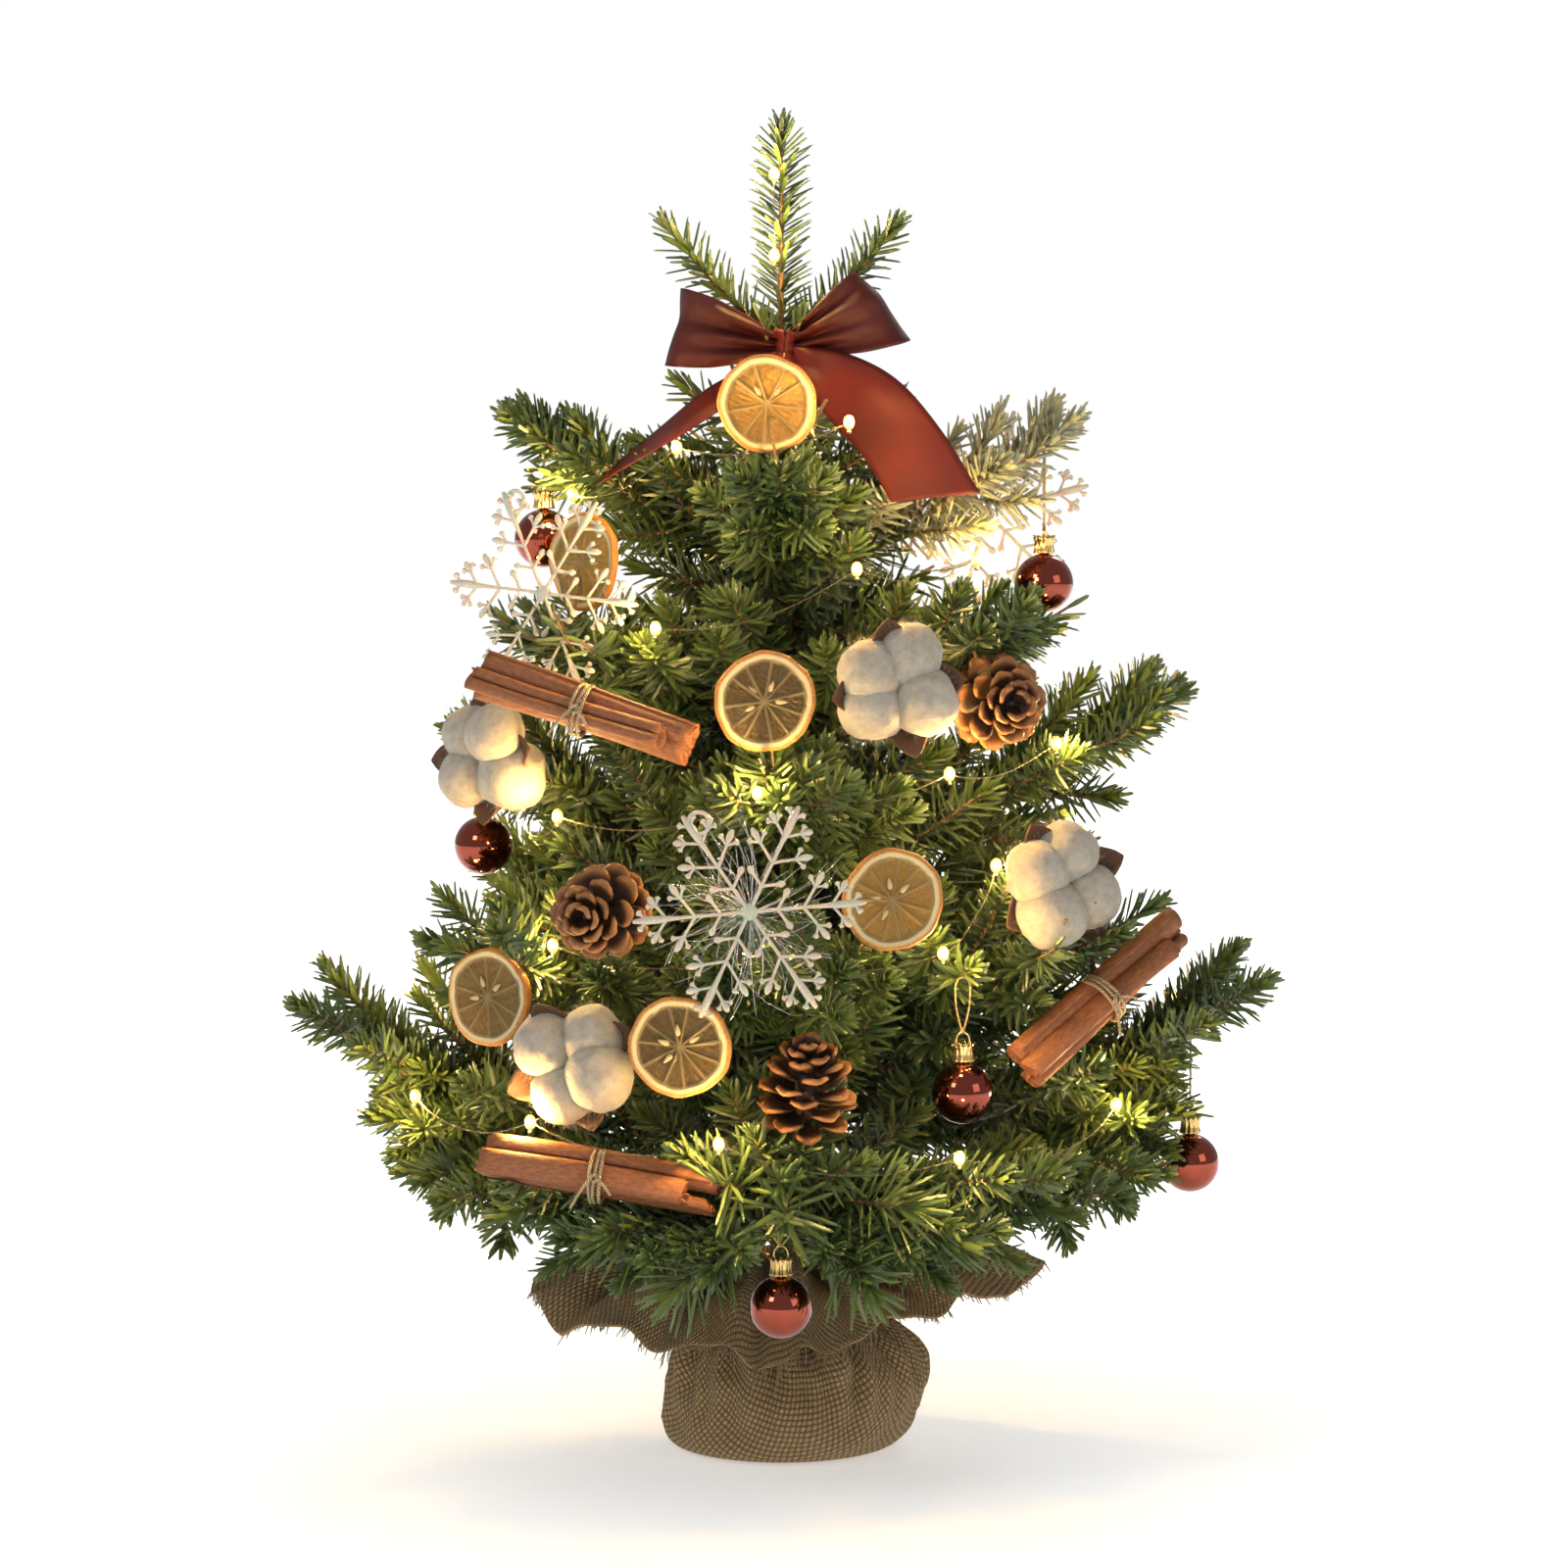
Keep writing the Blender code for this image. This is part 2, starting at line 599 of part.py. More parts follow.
def snowflake(spec):
    """A flat moulded star of six arms with a hanging ring on one of them."""
    bm = bmesh.new()
    verts = []
    for arm in range(6):
        turn = Matrix.Rotation(math.radians(60 * arm), 2)
        for point in reversed(flake_outline()):
            spot = turn @ point
            verts.append(bm.verts.new((spot.x, -0.001, spot.y)))
    face = bm.faces.new(verts)
    grown = bmesh.ops.extrude_face_region(bm, geom=[face])
    moved = [v for v in grown["geom"] if isinstance(v, bmesh.types.BMVert)]
    bmesh.ops.translate(bm, verts=moved, vec=(0, 0.002, 0))
    star = from_bmesh(bm)
    center = 0.86 * flake_radius
    ring = tube([Vector((center + 0.0045 * math.cos(a), 0, -0.004 + 0.0045 * math.sin(a)))
                 for a in (math.tau * i / 8 for i in range(8))], [0.0009] * 8, 4, closed=True)
    mesh = combine(star, [ring], "UNION")
    mesh.transform(slice_matrix(spec) @ Matrix.Rotation(math.radians(-115), 4, "Y"))
    return mesh


def ribbon(points, widths, thickness=0.0009):
    """A strip along the points; each width is the vector from one edge to the other."""
    bm = bmesh.new()
    rows = [[bm.verts.new(Vector(p) + Vector(w) * k) for k in (-0.5, 0.5)]
            for p, w in zip(points, widths)]
    for low, high in zip(rows, rows[1:]):
        bm.faces.new((low[0], low[1], high[1], high[0]))
    obj = bpy.data.objects.new("strip", from_bmesh(bm))
    shell = obj.modifiers.new("thickness", "SOLIDIFY")
    shell.thickness = thickness
    shell.offset = 0
    return baked(obj)


def bow():
    """Two loops, a knot and two tails, tied in front of the leader."""
    knot_at = Vector((0.002, -0.0165, 0.496))
    wide = ribbon_width
    parts = []
    for side, lift in ((-1, 0.006), (1, 0.014)):
        path, width = [], []
        for share, deep in ((0.06, 0.005), (0.4, 0.012), (0.8, 0.012), (1.0, 0.004),
                            (1.0, -0.004), (0.8, -0.011), (0.4, -0.010), (0.06, -0.004)):
            path.append(knot_at + Vector((side * 0.052 * share, -deep, lift * share)))
            width.append((side * 0.008 * share, 0, wide * (0.25 + 0.75 * share)))
        parts.append(ribbon(path, width))
    left = [(0, 0, 0), (-0.022, -0.010, -0.014), (-0.050, -0.026, -0.034), (-0.080, -0.036, -0.056)]
    parts.append(ribbon([knot_at + Vector(p) for p in left],
                        [(0.004, 0.004, 0.006), (0.010, 0.006, 0.012), (0.008, 0.010, 0.014),
                         (0.008, 0.010, 0.012)]))
    right = [(0, 0, 0), (0.024, -0.020, -0.016), (0.050, -0.040, -0.040), (0.070, -0.052, -0.070)]
    parts.append(ribbon([knot_at + Vector(p) for p in right],
                        [(0.006, 0, 0.006), (0.8 * wide, 0, 0.014), (0.95 * wide, 0, 0.010),
                         (wide, 0, 0)]))
    knot = sphere(knot_at, (0.0065, 0.0062, 0.0075), 8, 6)
    return combine(knot, parts, "UNION")


# Light string and its battery box

def string_line(grow=0.0):
    """Knots of the string with a swelling for each lamp; grow widens it all round."""
    lamps = [place(*lamp) for lamp in string_lamps]
    knots, radii = [], []
    for spot, after in zip(lamps, lamps[1:] + [None]):
        ahead = (after - spot).normalized() if after else Vector((0, 0, -1))
        for step, radius in ((-0.002, light_wire), (-0.001, bead_radius), (0.001, bead_radius),
                             (0.002, light_wire)):
            knots.append(spot + ahead * step)
            radii.append(radius + grow)
        if after:
            middle = (spot + after) / 2
            level = math.hypot(middle.x, middle.y)
            wanted = (math.hypot(spot.x, spot.y) + math.hypot(after.x, after.y)) / 2
            stretch = 1 + 0.8 * (wanted / max(level, 0.001) - 1) if level > 0.02 else 1
            knots.append(Vector((middle.x * stretch, middle.y * stretch, middle.z - 0.002)))
            radii.append(light_wire + grow)
    top = box_height + box_size[2] + gap
    for height in (top + 0.008, top):
        knots.append(Vector((0, 0.018, height)))
        radii.append(light_wire + grow)
    return knots, radii


def light_string(grow=0.0):
    knots, radii = string_line(grow)
    return tube(knots, radii, 4)


def box_matrix():
    wide, deep, tall = box_size
    middle = wrap_radius + 3 * gap + deep / 2
    return Matrix.Translation((0, middle, box_height + tall / 2))


def battery_box():
    """An open case for two cells with a switch slot in its side."""
    wide, deep, tall = box_size
    case = block((wide, deep, tall), box_matrix())
    room = block((wide - 2 * box_wall, deep, tall - 2 * box_wall),
                 box_matrix() @ Matrix.Translation((0, box_wall, 0)))
    slot = block((4 * box_wall, 0.004, 0.012),
                 box_matrix() @ Matrix.Translation((wide / 2, -0.001, 0.008)))
    return combine(case, [room, slot], "DIFFERENCE")


def battery_cover():
    """The lid, a plate with a thumb ridge that slides down off the back of the case."""
    wide, deep, tall = box_size
    at = box_matrix() @ Matrix.Translation((0, deep / 2 + gap + box_wall / 2, 0))
    plate = block((wide, box_wall, tall), at)
    ridge = block((0.4 * wide, box_wall, box_wall),
                  at @ Matrix.Translation((0, 0.8 * box_wall, -0.3 * tall)))
    return combine(plate, [ridge], "UNION")


def power_switch():
    """A slider with a thumb ridge outside the case and a stem through its slot."""
    wide = box_size[0]
    at = box_matrix() @ Matrix.Translation((wide / 2, -0.001, 0.008 - 0.0015))
    stem = block((0.005, 0.0032, 0.006), at)
    thumb = block((0.0016, 0.006, 0.005), at @ Matrix.Translation((0.0012 + gap, 0, 0)))
    return combine(stem, [thumb], "UNION")


# Room for the pieces that lie among the needles

def ornament_pockets():
    """A slightly larger plain shape for every ornament that rests in the needles."""
    room = 2 * gap
    pockets = []
    for spec in slices.values():
        pockets.append(disc(slice_radius + room, slice_thickness + 2 * room, slice_matrix(spec), 16))
    for spec in bundles.values():
        size = (stick_length + 0.008, 4.4 * stick_radius, 4.4 * stick_radius)
        shift = Matrix.Translation((0.001, -0.5 * stick_radius, 0))
        pockets.append(block([s + 2 * room for s in size], slice_matrix(spec) @ shift))
    for spec in bolls.values():
        pockets.append(cotton(spec, room))
    for spec in cones.values():
        pockets.append(disc(cone_radius + room, cone_length + 2 * room, cone_matrix(spec), 12))
    for spec in flakes.values():
        pockets.append(disc(flake_radius + 2 * room, 0.0035, slice_matrix(spec), 18))
    return pockets


def build():
    clear_scene()
    tree = bpy.data.collections.new("artificial_tabletop_tree")
    bpy.context.scene.collection.children.link(tree)
    pockets = ornament_pockets() + [ball_pocket(name) for name in balls]
    pockets.append(block([s + 0.004 for s in box_size], box_matrix()))
    lamps = light_string(gap)
    for name in branches:
        own = [b for b in balls if balls[b][0] == name]
        root = branch_line(name, 0)
        finish(name, branch_solid(name, own, [*pockets, lamps]), tree, root)
    finish("base_weight", weight(), tree)
    finish("burlap_wrap", burlap(), tree)
    finish("neck_tie", neck_tie(), tree)
    finish("pole", pole(), tree)
    finish("top_sprig", main_body(combine(top_sprig(), [lamps], "DIFFERENCE")), tree)
    for name in balls:
        finish(name, ball(name), tree, hang_point(name))
        finish(name.replace("ball", "hanger"), hanger(name), tree, hang_point(name))
    groups = ((slices, orange_slice), (bundles, cinnamon), (bolls, cotton),
              (cones, pinecone), (flakes, snowflake))
    for specs, make in groups:
        for name, spec in specs.items():
            finish(name, make(spec), tree, place(*spec[:3]))
    finish("bow", bow(), tree)
    finish("light_string", light_string(), tree)
    finish("battery_box", battery_box(), tree)
    finish("battery_cover", battery_cover(), tree)
    finish("power_switch", power_switch(), tree)


build()
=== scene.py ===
# Tabletop tree with its ornaments, light string and burlap base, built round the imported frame.
import json
import math

import bpy
import numpy as np
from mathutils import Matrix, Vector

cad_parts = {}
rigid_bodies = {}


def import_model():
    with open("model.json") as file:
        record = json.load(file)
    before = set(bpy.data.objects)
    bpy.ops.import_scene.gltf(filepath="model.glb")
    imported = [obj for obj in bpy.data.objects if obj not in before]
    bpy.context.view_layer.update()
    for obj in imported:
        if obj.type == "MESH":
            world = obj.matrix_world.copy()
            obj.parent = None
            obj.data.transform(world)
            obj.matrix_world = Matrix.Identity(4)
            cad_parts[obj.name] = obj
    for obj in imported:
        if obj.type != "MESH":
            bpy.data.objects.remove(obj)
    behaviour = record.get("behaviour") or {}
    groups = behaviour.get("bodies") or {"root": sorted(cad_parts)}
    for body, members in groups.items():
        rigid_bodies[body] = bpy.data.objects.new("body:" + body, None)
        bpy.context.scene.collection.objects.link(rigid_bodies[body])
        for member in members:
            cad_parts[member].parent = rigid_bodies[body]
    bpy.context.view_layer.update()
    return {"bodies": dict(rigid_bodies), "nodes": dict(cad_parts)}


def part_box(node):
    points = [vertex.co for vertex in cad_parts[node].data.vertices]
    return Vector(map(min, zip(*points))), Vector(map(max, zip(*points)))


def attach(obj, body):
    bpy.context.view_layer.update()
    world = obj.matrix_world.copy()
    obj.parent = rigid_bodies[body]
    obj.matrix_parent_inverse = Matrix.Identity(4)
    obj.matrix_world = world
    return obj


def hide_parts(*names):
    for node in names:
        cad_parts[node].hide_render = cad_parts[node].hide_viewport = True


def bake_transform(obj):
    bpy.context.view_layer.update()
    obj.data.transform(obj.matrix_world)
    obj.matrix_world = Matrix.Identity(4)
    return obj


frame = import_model()
trunk = [name for name in frame["bodies"] if not name.endswith(("_arm", "_drop"))
         and name not in ("cover", "slider")][0]
print("frame loaded", len(frame["nodes"]), "nodes")
upward = np.array([0.0, 0.0, 1.0])


# Small numpy tools

def unit(v):  # vectors divided by their own length
    return v / np.maximum(np.linalg.norm(v, axis=-1, keepdims=True), 1e-12)


def place(azimuth, radius, height):  # cylinder coordinates to x, y, z
    a = np.radians(azimuth)
    return np.stack(np.broadcast_arrays(radius * np.cos(a), radius * np.sin(a), height), -1).astype(float)


def turnZ(degrees):  # this and the next two: the matrix of a turn about one axis
    c, s = math.cos(math.radians(degrees)), math.sin(math.radians(degrees))
    return np.array([[c, -s, 0], [s, c, 0], [0, 0, 1.0]])


def turnY(degrees):
    c, s = math.cos(math.radians(degrees)), math.sin(math.radians(degrees))
    return np.array([[c, 0, s], [0, 1.0, 0], [-s, 0, c]])


def turnX(degrees):
    c, s = math.cos(math.radians(degrees)), math.sin(math.radians(degrees))
    return np.array([[1.0, 0, 0], [0, c, -s], [0, s, c]])


def facing(azimuth, tilt):  # local -Y is turned to the azimuth, then the face is tilted in itself
    return turnZ(azimuth + 90) @ turnY(-tilt)


def waves(points, size, seed, count=7):  # smooth noise, -1 to 1: a mean of sines along seeded directions
    rng = np.random.default_rng(seed)
    directions = unit(rng.normal(size=(count, 3))) * (math.tau / size) * rng.uniform(0.7, 1.6, (count, 1))
    return np.sin(points @ directions.T + rng.uniform(0, math.tau, count)).mean(-1) * 1.6


def blendStep(x, low, high):  # 0 below low, 1 above high, smooth between
    t = np.clip((x - low) / (high - low), 0, 1)
    return t * t * (3 - 2 * t)


def throughRows(table, at):  # a smooth cubic through a table's rows, read at fractional row numbers
    k = np.clip(at.astype(int), 0, len(table) - 2)
    f = (at - k)[:, None]
    pad = np.concatenate([2 * table[:1] - table[1:2], table, 2 * table[-1:] - table[-2:-1]])
    p0, p1, p2, p3 = pad[k], pad[k + 1], pad[k + 2], pad[k + 3]
    bend = (2 * p0 - 5 * p1 + 4 * p2 - p3) * f**2
    return 0.5 * (2 * p1 + (p2 - p0) * f + bend + (3 * p1 - p0 - 3 * p2 + p3) * f**3)


def gridQuads(rows, cols, wrap=False):  # each cell of a grid as a quad, with its corners' rows and columns
    r, c = np.meshgrid(np.arange(rows - 1), np.arange(cols if wrap else cols - 1), indexing="ij")
    corners = np.stack([r, c, r, c + 1, r + 1, c + 1, r + 1, c], -1).reshape(-1, 4, 2)
    return corners[..., 0] * cols + corners[..., 1] % cols, corners


class Part:
    # Collects points, faces, corner UVs and point colours of one mesh before Blender gets them.
    def __init__(self):
        self.points, self.faces, self.uvs, self.tones, self.count = [], [], [], [], 0

    def add(self, points, faces, uvs=None, tones=None):
        points = np.asarray(points, float).reshape(-1, 3)
        self.points.append(points)
        for i, f in enumerate(faces):
            self.faces.append(np.asarray(f) + self.count)
            uv = uvs[i] if uvs is not None else np.zeros(np.shape(f) + (2,))
            self.uvs.append(np.asarray(uv, float))
        if tones is None:
            tones = np.zeros((len(points), 3))
        self.tones.append(np.asarray(tones, float).reshape(-1, 3))
        self.count += len(points)

    def make(self, name, material, body, stands=(), smooth=True):
        points = np.concatenate(self.points)
        mesh = bpy.data.meshes.new(name)
        mesh.vertices.add(len(points))
        mesh.vertices.foreach_set("co", points.astype(np.float32).ravel())
        sizes = np.concatenate([np.full(f.reshape(-1, f.shape[-1]).shape[0], f.shape[-1])
                                for f in self.faces])
        loops = np.concatenate([f.ravel() for f in self.faces]).astype(np.int32)
        mesh.loops.add(len(loops))
        mesh.loops.foreach_set("vertex_index", loops)
        mesh.polygons.add(len(sizes))
        starts = np.concatenate([[0], np.cumsum(sizes)[:-1]]).astype(np.int32)
        mesh.polygons.foreach_set("loop_start", starts)
        mesh.polygons.foreach_set("use_smooth", np.full(len(sizes), smooth))
        layer = mesh.uv_layers.new(name="UVMap")
        layer.data.foreach_set("uv", np.concatenate([u.reshape(-1, 2)
                                                     for u in self.uvs]).astype(np.float32).ravel())
        tone = mesh.attributes.new("tone", "FLOAT_COLOR", "POINT")
        rgb = np.concatenate(self.tones)
        tone.data.foreach_set("color", np.column_stack([rgb, np.ones(len(rgb))]).astype(np.float32).ravel())
        mesh.update(calc_edges=True)
        mesh.materials.append(material)
        obj = bpy.data.objects.new(name, mesh)
        bpy.context.scene.collection.objects.link(obj)
        if body:
            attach(obj, body)
        if stands:
            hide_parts(*stands)
        return obj


def tubes(part, paths, radii, sides=8, closed=False, normal=None):
    # Round rods: a ring of points square to each path at each of its points, in the frame of one side vector.
    paths = np.asarray(paths, float)
    paths = paths[None] if paths.ndim == 2 else paths
    n, k = paths.shape[:2]
    radii = np.broadcast_to(np.asarray(radii, float), (n, k))
    if closed:
        tangent = unit(np.roll(paths, -1, 1) - np.roll(paths, 1, 1))
    else:
        tangent = unit(np.gradient(paths, axis=1))
    if normal is None:
        whole = np.abs(unit(paths[:, -1] - paths[:, 0] + 1e-9))
        normal = np.eye(3)[np.argmin(whole, -1)][:, None]
    side = unit(np.cross(np.broadcast_to(normal, tangent.shape), tangent))
    other = np.cross(tangent, side)
    a = math.tau * np.arange(sides) / sides
    ring = np.cos(a)[:, None] * side[:, :, None] + np.sin(a)[:, None] * other[:, :, None]
    points = paths[:, :, None] + radii[..., None, None] * ring
    index, corners = gridQuads(k + 1 if closed else k, sides, True)
    if closed:
        index = index % (k * sides)
    length = np.concatenate([[0], np.cumsum(np.linalg.norm(np.diff(paths[0], axis=0), axis=-1))])
    length = np.append(length, length[-1] + length[1]) if closed else length
    uv = np.stack([length[corners[..., 0]], corners[..., 1] / sides], -1)
    each = k * sides if closed else k * sides + 2
    faces = [index + each * np.arange(n)[:, None, None]]
    uvs = [np.broadcast_to(uv, (n, *uv.shape))]
    flat = points.reshape(n, -1, 3)
    if not closed:
        ends = np.stack([paths[:, 0] - tangent[:, 0] * radii[:, :1] * 0.4,
                         paths[:, -1] + tangent[:, -1] * radii[:, -1:] * 0.4], 1)
        flat = np.concatenate([flat, ends], 1)
        i = np.arange(sides)
        j = (i + 1) % sides
        foot = np.stack([np.full(sides, k * sides), j, i], -1)
        head = np.stack([np.full(sides, k * sides + 1), (k - 1) * sides + i, (k - 1) * sides + j], -1)
        faces.append(np.concatenate([foot, head])[None] + each * np.arange(n)[:, None, None])
        uvs.append(np.zeros((n, 2 * sides, 3, 2)))
    faces = [f.reshape(-1, f.shape[-1]) for f in faces]
    part.add(flat.reshape(-1, 3), faces, [u.reshape(-1, *u.shape[-2:]) for u in uvs])


def shell(part, grid, thickness, wrap=False, uv=None, tones=None):
    # A sheet with thickness: the grid moved half of it to each side along its normals, joined at its edges.
    grid = np.asarray(grid, float)
    grid = grid[None] if grid.ndim == 3 else grid
    n, rows, cols = grid.shape[:3]
    if wrap:
        acrossCols = np.roll(grid, -1, 2) - np.roll(grid, 1, 2)
    else:
        acrossCols = np.gradient(grid, axis=2)
    normal = unit(np.cross(acrossCols, np.gradient(grid, axis=1)))
    half = np.broadcast_to(np.asarray(thickness, float) / 2, grid.shape[:3])[..., None]
    points = np.stack([grid + normal * half, grid - normal * half], 1).reshape(n, -1, 3)
    index, corners = gridQuads(rows, cols, wrap)
    last = rows * cols
    sides = [index, index[:, ::-1] + last]
    uvOne = np.stack([corners[..., 0] / (rows - 1), corners[..., 1] / (cols if wrap else cols - 1)], -1)
    if uv is not None:
        uvOne = uv(uvOne)
    uvs = [uvOne, uvOne[:, ::-1]]
    c = np.arange(cols)
    if wrap:
        loops = [(np.arange(cols + 1) % cols), (rows - 1) * cols + (np.arange(cols + 1) % cols)[::-1]]
    else:
        r = np.arange(rows)
        loops = [np.concatenate([c, r[1:] * cols + cols - 1, (rows - 1) * cols + c[-2::-1],
                                 r[-2::-1] * cols])]
    for loop in loops:
        a, b = loop[:-1], loop[1:]
        sides.append(np.stack([b, a, a + last, b + last], -1))
        uvs.append(np.zeros((len(a), 4, 2)))
    faces = [(s[None] + 2 * last * np.arange(n)[:, None, None]).reshape(-1, 4) for s in sides]
    uvs = [np.broadcast_to(u, (n, *u.shape)).reshape(-1, 4, 2) for u in uvs]
    if tones is not None:
        tones = np.broadcast_to(tones, (n, rows, cols, 3))
        tones = np.stack([tones, tones], 1).reshape(-1, 3)
    part.add(points.reshape(-1, 3), faces, uvs, tones)


def closedGrid(part, grid, tones=None):
    # Rings joined into a skin and closed by a point at each end; grid is (rings, points round, 3).
    rows, cols = grid.shape[:2]
    index, corners = gridQuads(rows, cols, True)
    uv = np.stack([corners[..., 0] / (rows - 1), corners[..., 1] / cols], -1)
    i = np.arange(cols)
    j = (i + 1) % cols
    ends = np.stack([grid[0].mean(0), grid[-1].mean(0)])
    last = (rows - 1) * cols
    foot = np.stack([np.full(cols, rows * cols), j, i], -1)
    head = np.stack([np.full(cols, rows * cols + 1), last + i, last + j], -1)
    faces = [index, np.concatenate([foot, head])]
    uvs = [uv, np.zeros((2 * cols, 3, 2))]
    if tones is not None:
        tones = np.concatenate([tones.reshape(-1, 3), tones[0].mean(0)[None], tones[-1].mean(0)[None]])
    part.add(np.concatenate([grid.reshape(-1, 3), ends]), faces, uvs, tones)


def ballGrid(center, radii, rows=24, cols=32):  # a sphere's rings from its foot to its head
    a = np.linspace(0, math.pi, rows + 2)[1:-1]
    b = math.tau * np.arange(cols) / cols
    s, c = np.sin(a)[:, None], np.cos(a)[:, None]
    ring = np.stack([s * np.cos(b), s * np.sin(b), -c + 0 * b], -1)
    return np.asarray(center) + ring * np.asarray(radii)


def lathe(profile, cols=24):  # rings of a profile of (radius, height) turned round Z
    profile = np.asarray(profile, float)
    b = math.tau * np.arange(cols) / cols
    return np.stack([profile[:, :1] * np.cos(b), profile[:, :1] * np.sin(b), profile[:, 1:] + 0 * b], -1)


# Materials

class Nodes:
    # A Principled material and short ways to add nodes to it.
    def __init__(self, name, **values):
        self.material = bpy.data.materials.new(name)
        self.material.use_nodes = True
        self.tree = self.material.node_tree
        self.shader = self.tree.nodes["Principled BSDF"]
        for key, value in values.items():
            self.shader.inputs[key.replace("_", " ")].default_value = value

    def node(self, kind, links=(), **settings):
        made = self.tree.nodes.new(kind)
        for key, value in settings.items():
            setattr(made, key, value)
        for socket, value in links:
            target = made.inputs[socket]
            if isinstance(value, bpy.types.NodeSocket):
                self.tree.links.new(value, target)
            else:
                target.default_value = value
        return made

    def ramp(self, factor, stops):
        made = self.node("ShaderNodeValToRGB", [("Fac", factor)])
        elements = made.color_ramp.elements
        while len(elements) < len(stops):
            elements.new(0.5)
        for element, (at, color) in zip(elements, stops):
            element.position, element.color = at, (*color, 1)
        return made.outputs["Color"]

    def mix(self, factor, first, second, kind="MIX"):
        made = self.node("ShaderNodeMix", data_type="RGBA", blend_type=kind)
        for socket, value in ((0, factor), (6, first), (7, second)):
            if isinstance(value, bpy.types.NodeSocket):
                self.tree.links.new(value, made.inputs[socket])
            else:
                made.inputs[socket].default_value = value if socket == 0 else (*value, 1)
        return made.outputs[2]

    def math(self, kind, first, second=0.0):
        return self.node("ShaderNodeMath", [(0, first), (1, second)], operation=kind).outputs[0]

    def coords(self, kind="Object", scale=(1, 1, 1)):
        source = self.node("ShaderNodeTexCoord").outputs[kind]
        if scale == (1, 1, 1):
            return source
        return self.node("ShaderNodeMapping", [("Vector", source), ("Scale", scale)]).outputs[0]

    def noise(self, where, scale, detail=3.0, rough=0.55):
        return self.node("ShaderNodeTexNoise",
                         [("Vector", where), ("Scale", scale), ("Detail", detail),
                          ("Roughness", rough)]).outputs["Fac"]

    def tone(self):
        source = self.node("ShaderNodeAttribute", attribute_name="tone")
        return self.node("ShaderNodeSeparateColor", [("Color", source.outputs["Color"])]).outputs

    def bump(self, height, distance, strength=1.0):
        made = self.node("ShaderNodeBump",
                         [("Height", height), ("Distance", distance), ("Strength", strength)])
        self.tree.links.new(made.outputs[0], self.shader.inputs["Normal"])

    def color(self, socket):
        self.tree.links.new(socket, self.shader.inputs["Base Color"])

    def put(self, name, socket):
        self.tree.links.new(socket, self.shader.inputs[name])


def needleMaterial(name, deep, middle, young):
    m = Nodes(name, Roughness=0.36, Specular_IOR_Level=0.5)
    tone = m.tone()
    base = m.ramp(tone[0], [(0.0, deep), (0.55, middle), (1.0, young)])
    tip = m.mix(m.math("MULTIPLY", tone[1], 0.45), base, young)
    patch = m.noise(m.coords(), 90.0, 2.0)
    green = m.mix(m.math("MULTIPLY", patch, 0.35), tip, deep)
    # the third tone channel mixes the needles towards a pale grey-beige: painted highlight, used on
    # branch_5_right
    m.color(m.mix(tone[2], green, (0.50, 0.49, 0.36)))
    return m.material


def barkMaterial():
    m = Nodes("twigBark", Roughness=0.75)
    grain = m.noise(m.coords(), 900.0, 4.0)
    m.color(m.ramp(grain, [(0.3, (0.10, 0.055, 0.025)), (0.7, (0.30, 0.17, 0.08))]))
    m.bump(grain, 0.0003, 0.6)
    return m.material


def mirrorMaterial():
    m = Nodes("copperMirror", Metallic=1.0, Roughness=0.07, Coat_Weight=0.5, Coat_Roughness=0.03)
    cloud = m.noise(m.coords(), 60.0, 2.0)
    m.color(m.ramp(cloud, [(0.2, (0.24, 0.042, 0.022)), (0.8, (0.34, 0.062, 0.030))]))
    m.bump(m.noise(m.coords(), 300.0, 2.0), 0.00008, 0.3)
    return m.material


def goldMaterial():
    m = Nodes("crownGold", Metallic=1.0, Roughness=0.24)
    cloud = m.noise(m.coords(), 500.0, 2.0)
    m.color(m.ramp(cloud, [(0.3, (0.62, 0.42, 0.13)), (0.7, (0.85, 0.64, 0.28))]))
    return m.material


def threadMaterial():
    m = Nodes("goldThread", Roughness=0.45, Metallic=0.6)
    u = m.coords("UV", (900, 2, 1))
    twist = m.node("ShaderNodeTexWave", [("Vector", u), ("Scale", 1.0), ("Distortion", 0.4)],
                   bands_direction="DIAGONAL").outputs["Fac"]
    m.color(m.ramp(twist, [(0.2, (0.36, 0.25, 0.08)), (0.8, (0.80, 0.66, 0.34))]))
    m.bump(twist, 0.0002, 0.7)
    return m.material


def fruitMaterials():
    flesh = Nodes("driedFlesh", Roughness=0.32, Transmission_Weight=0.45, IOR=1.38, Subsurface_Weight=0.1,
                  Subsurface_Scale=0.003)
    tone = flesh.tone()
    fibre = flesh.noise(flesh.coords("UV", (7, 34, 1)), 1.0, 5.0, 0.65)
    cell = flesh.ramp(fibre, [(0.25, (0.06, 0.032, 0.007)), (0.5, (0.12, 0.075, 0.016)),
                              (0.8, (0.25, 0.17, 0.05))])
    gold = flesh.ramp(fibre, [(0.25, (0.34, 0.16, 0.016)), (0.5, (0.50, 0.28, 0.045)),
                              (0.8, (0.62, 0.42, 0.11))])
    flesh.color(flesh.mix(tone[0], flesh.mix(tone[1], cell, gold), (0.46, 0.34, 0.14)))
    flesh.bump(fibre, 0.0006, 0.7)
    rind = Nodes("driedRind", Roughness=0.6, Subsurface_Weight=0.15, Subsurface_Scale=0.002)
    tone = rind.tone()
    pores = rind.noise(rind.coords(), 1100.0, 3.0)
    skin = rind.ramp(pores, [(0.3, (0.34, 0.125, 0.018)), (0.7, (0.56, 0.26, 0.05))])
    rind.color(rind.mix(tone[0], skin, (0.60, 0.49, 0.26)))
    rind.bump(pores, 0.0003, 0.7)
    return flesh.material, rind.material


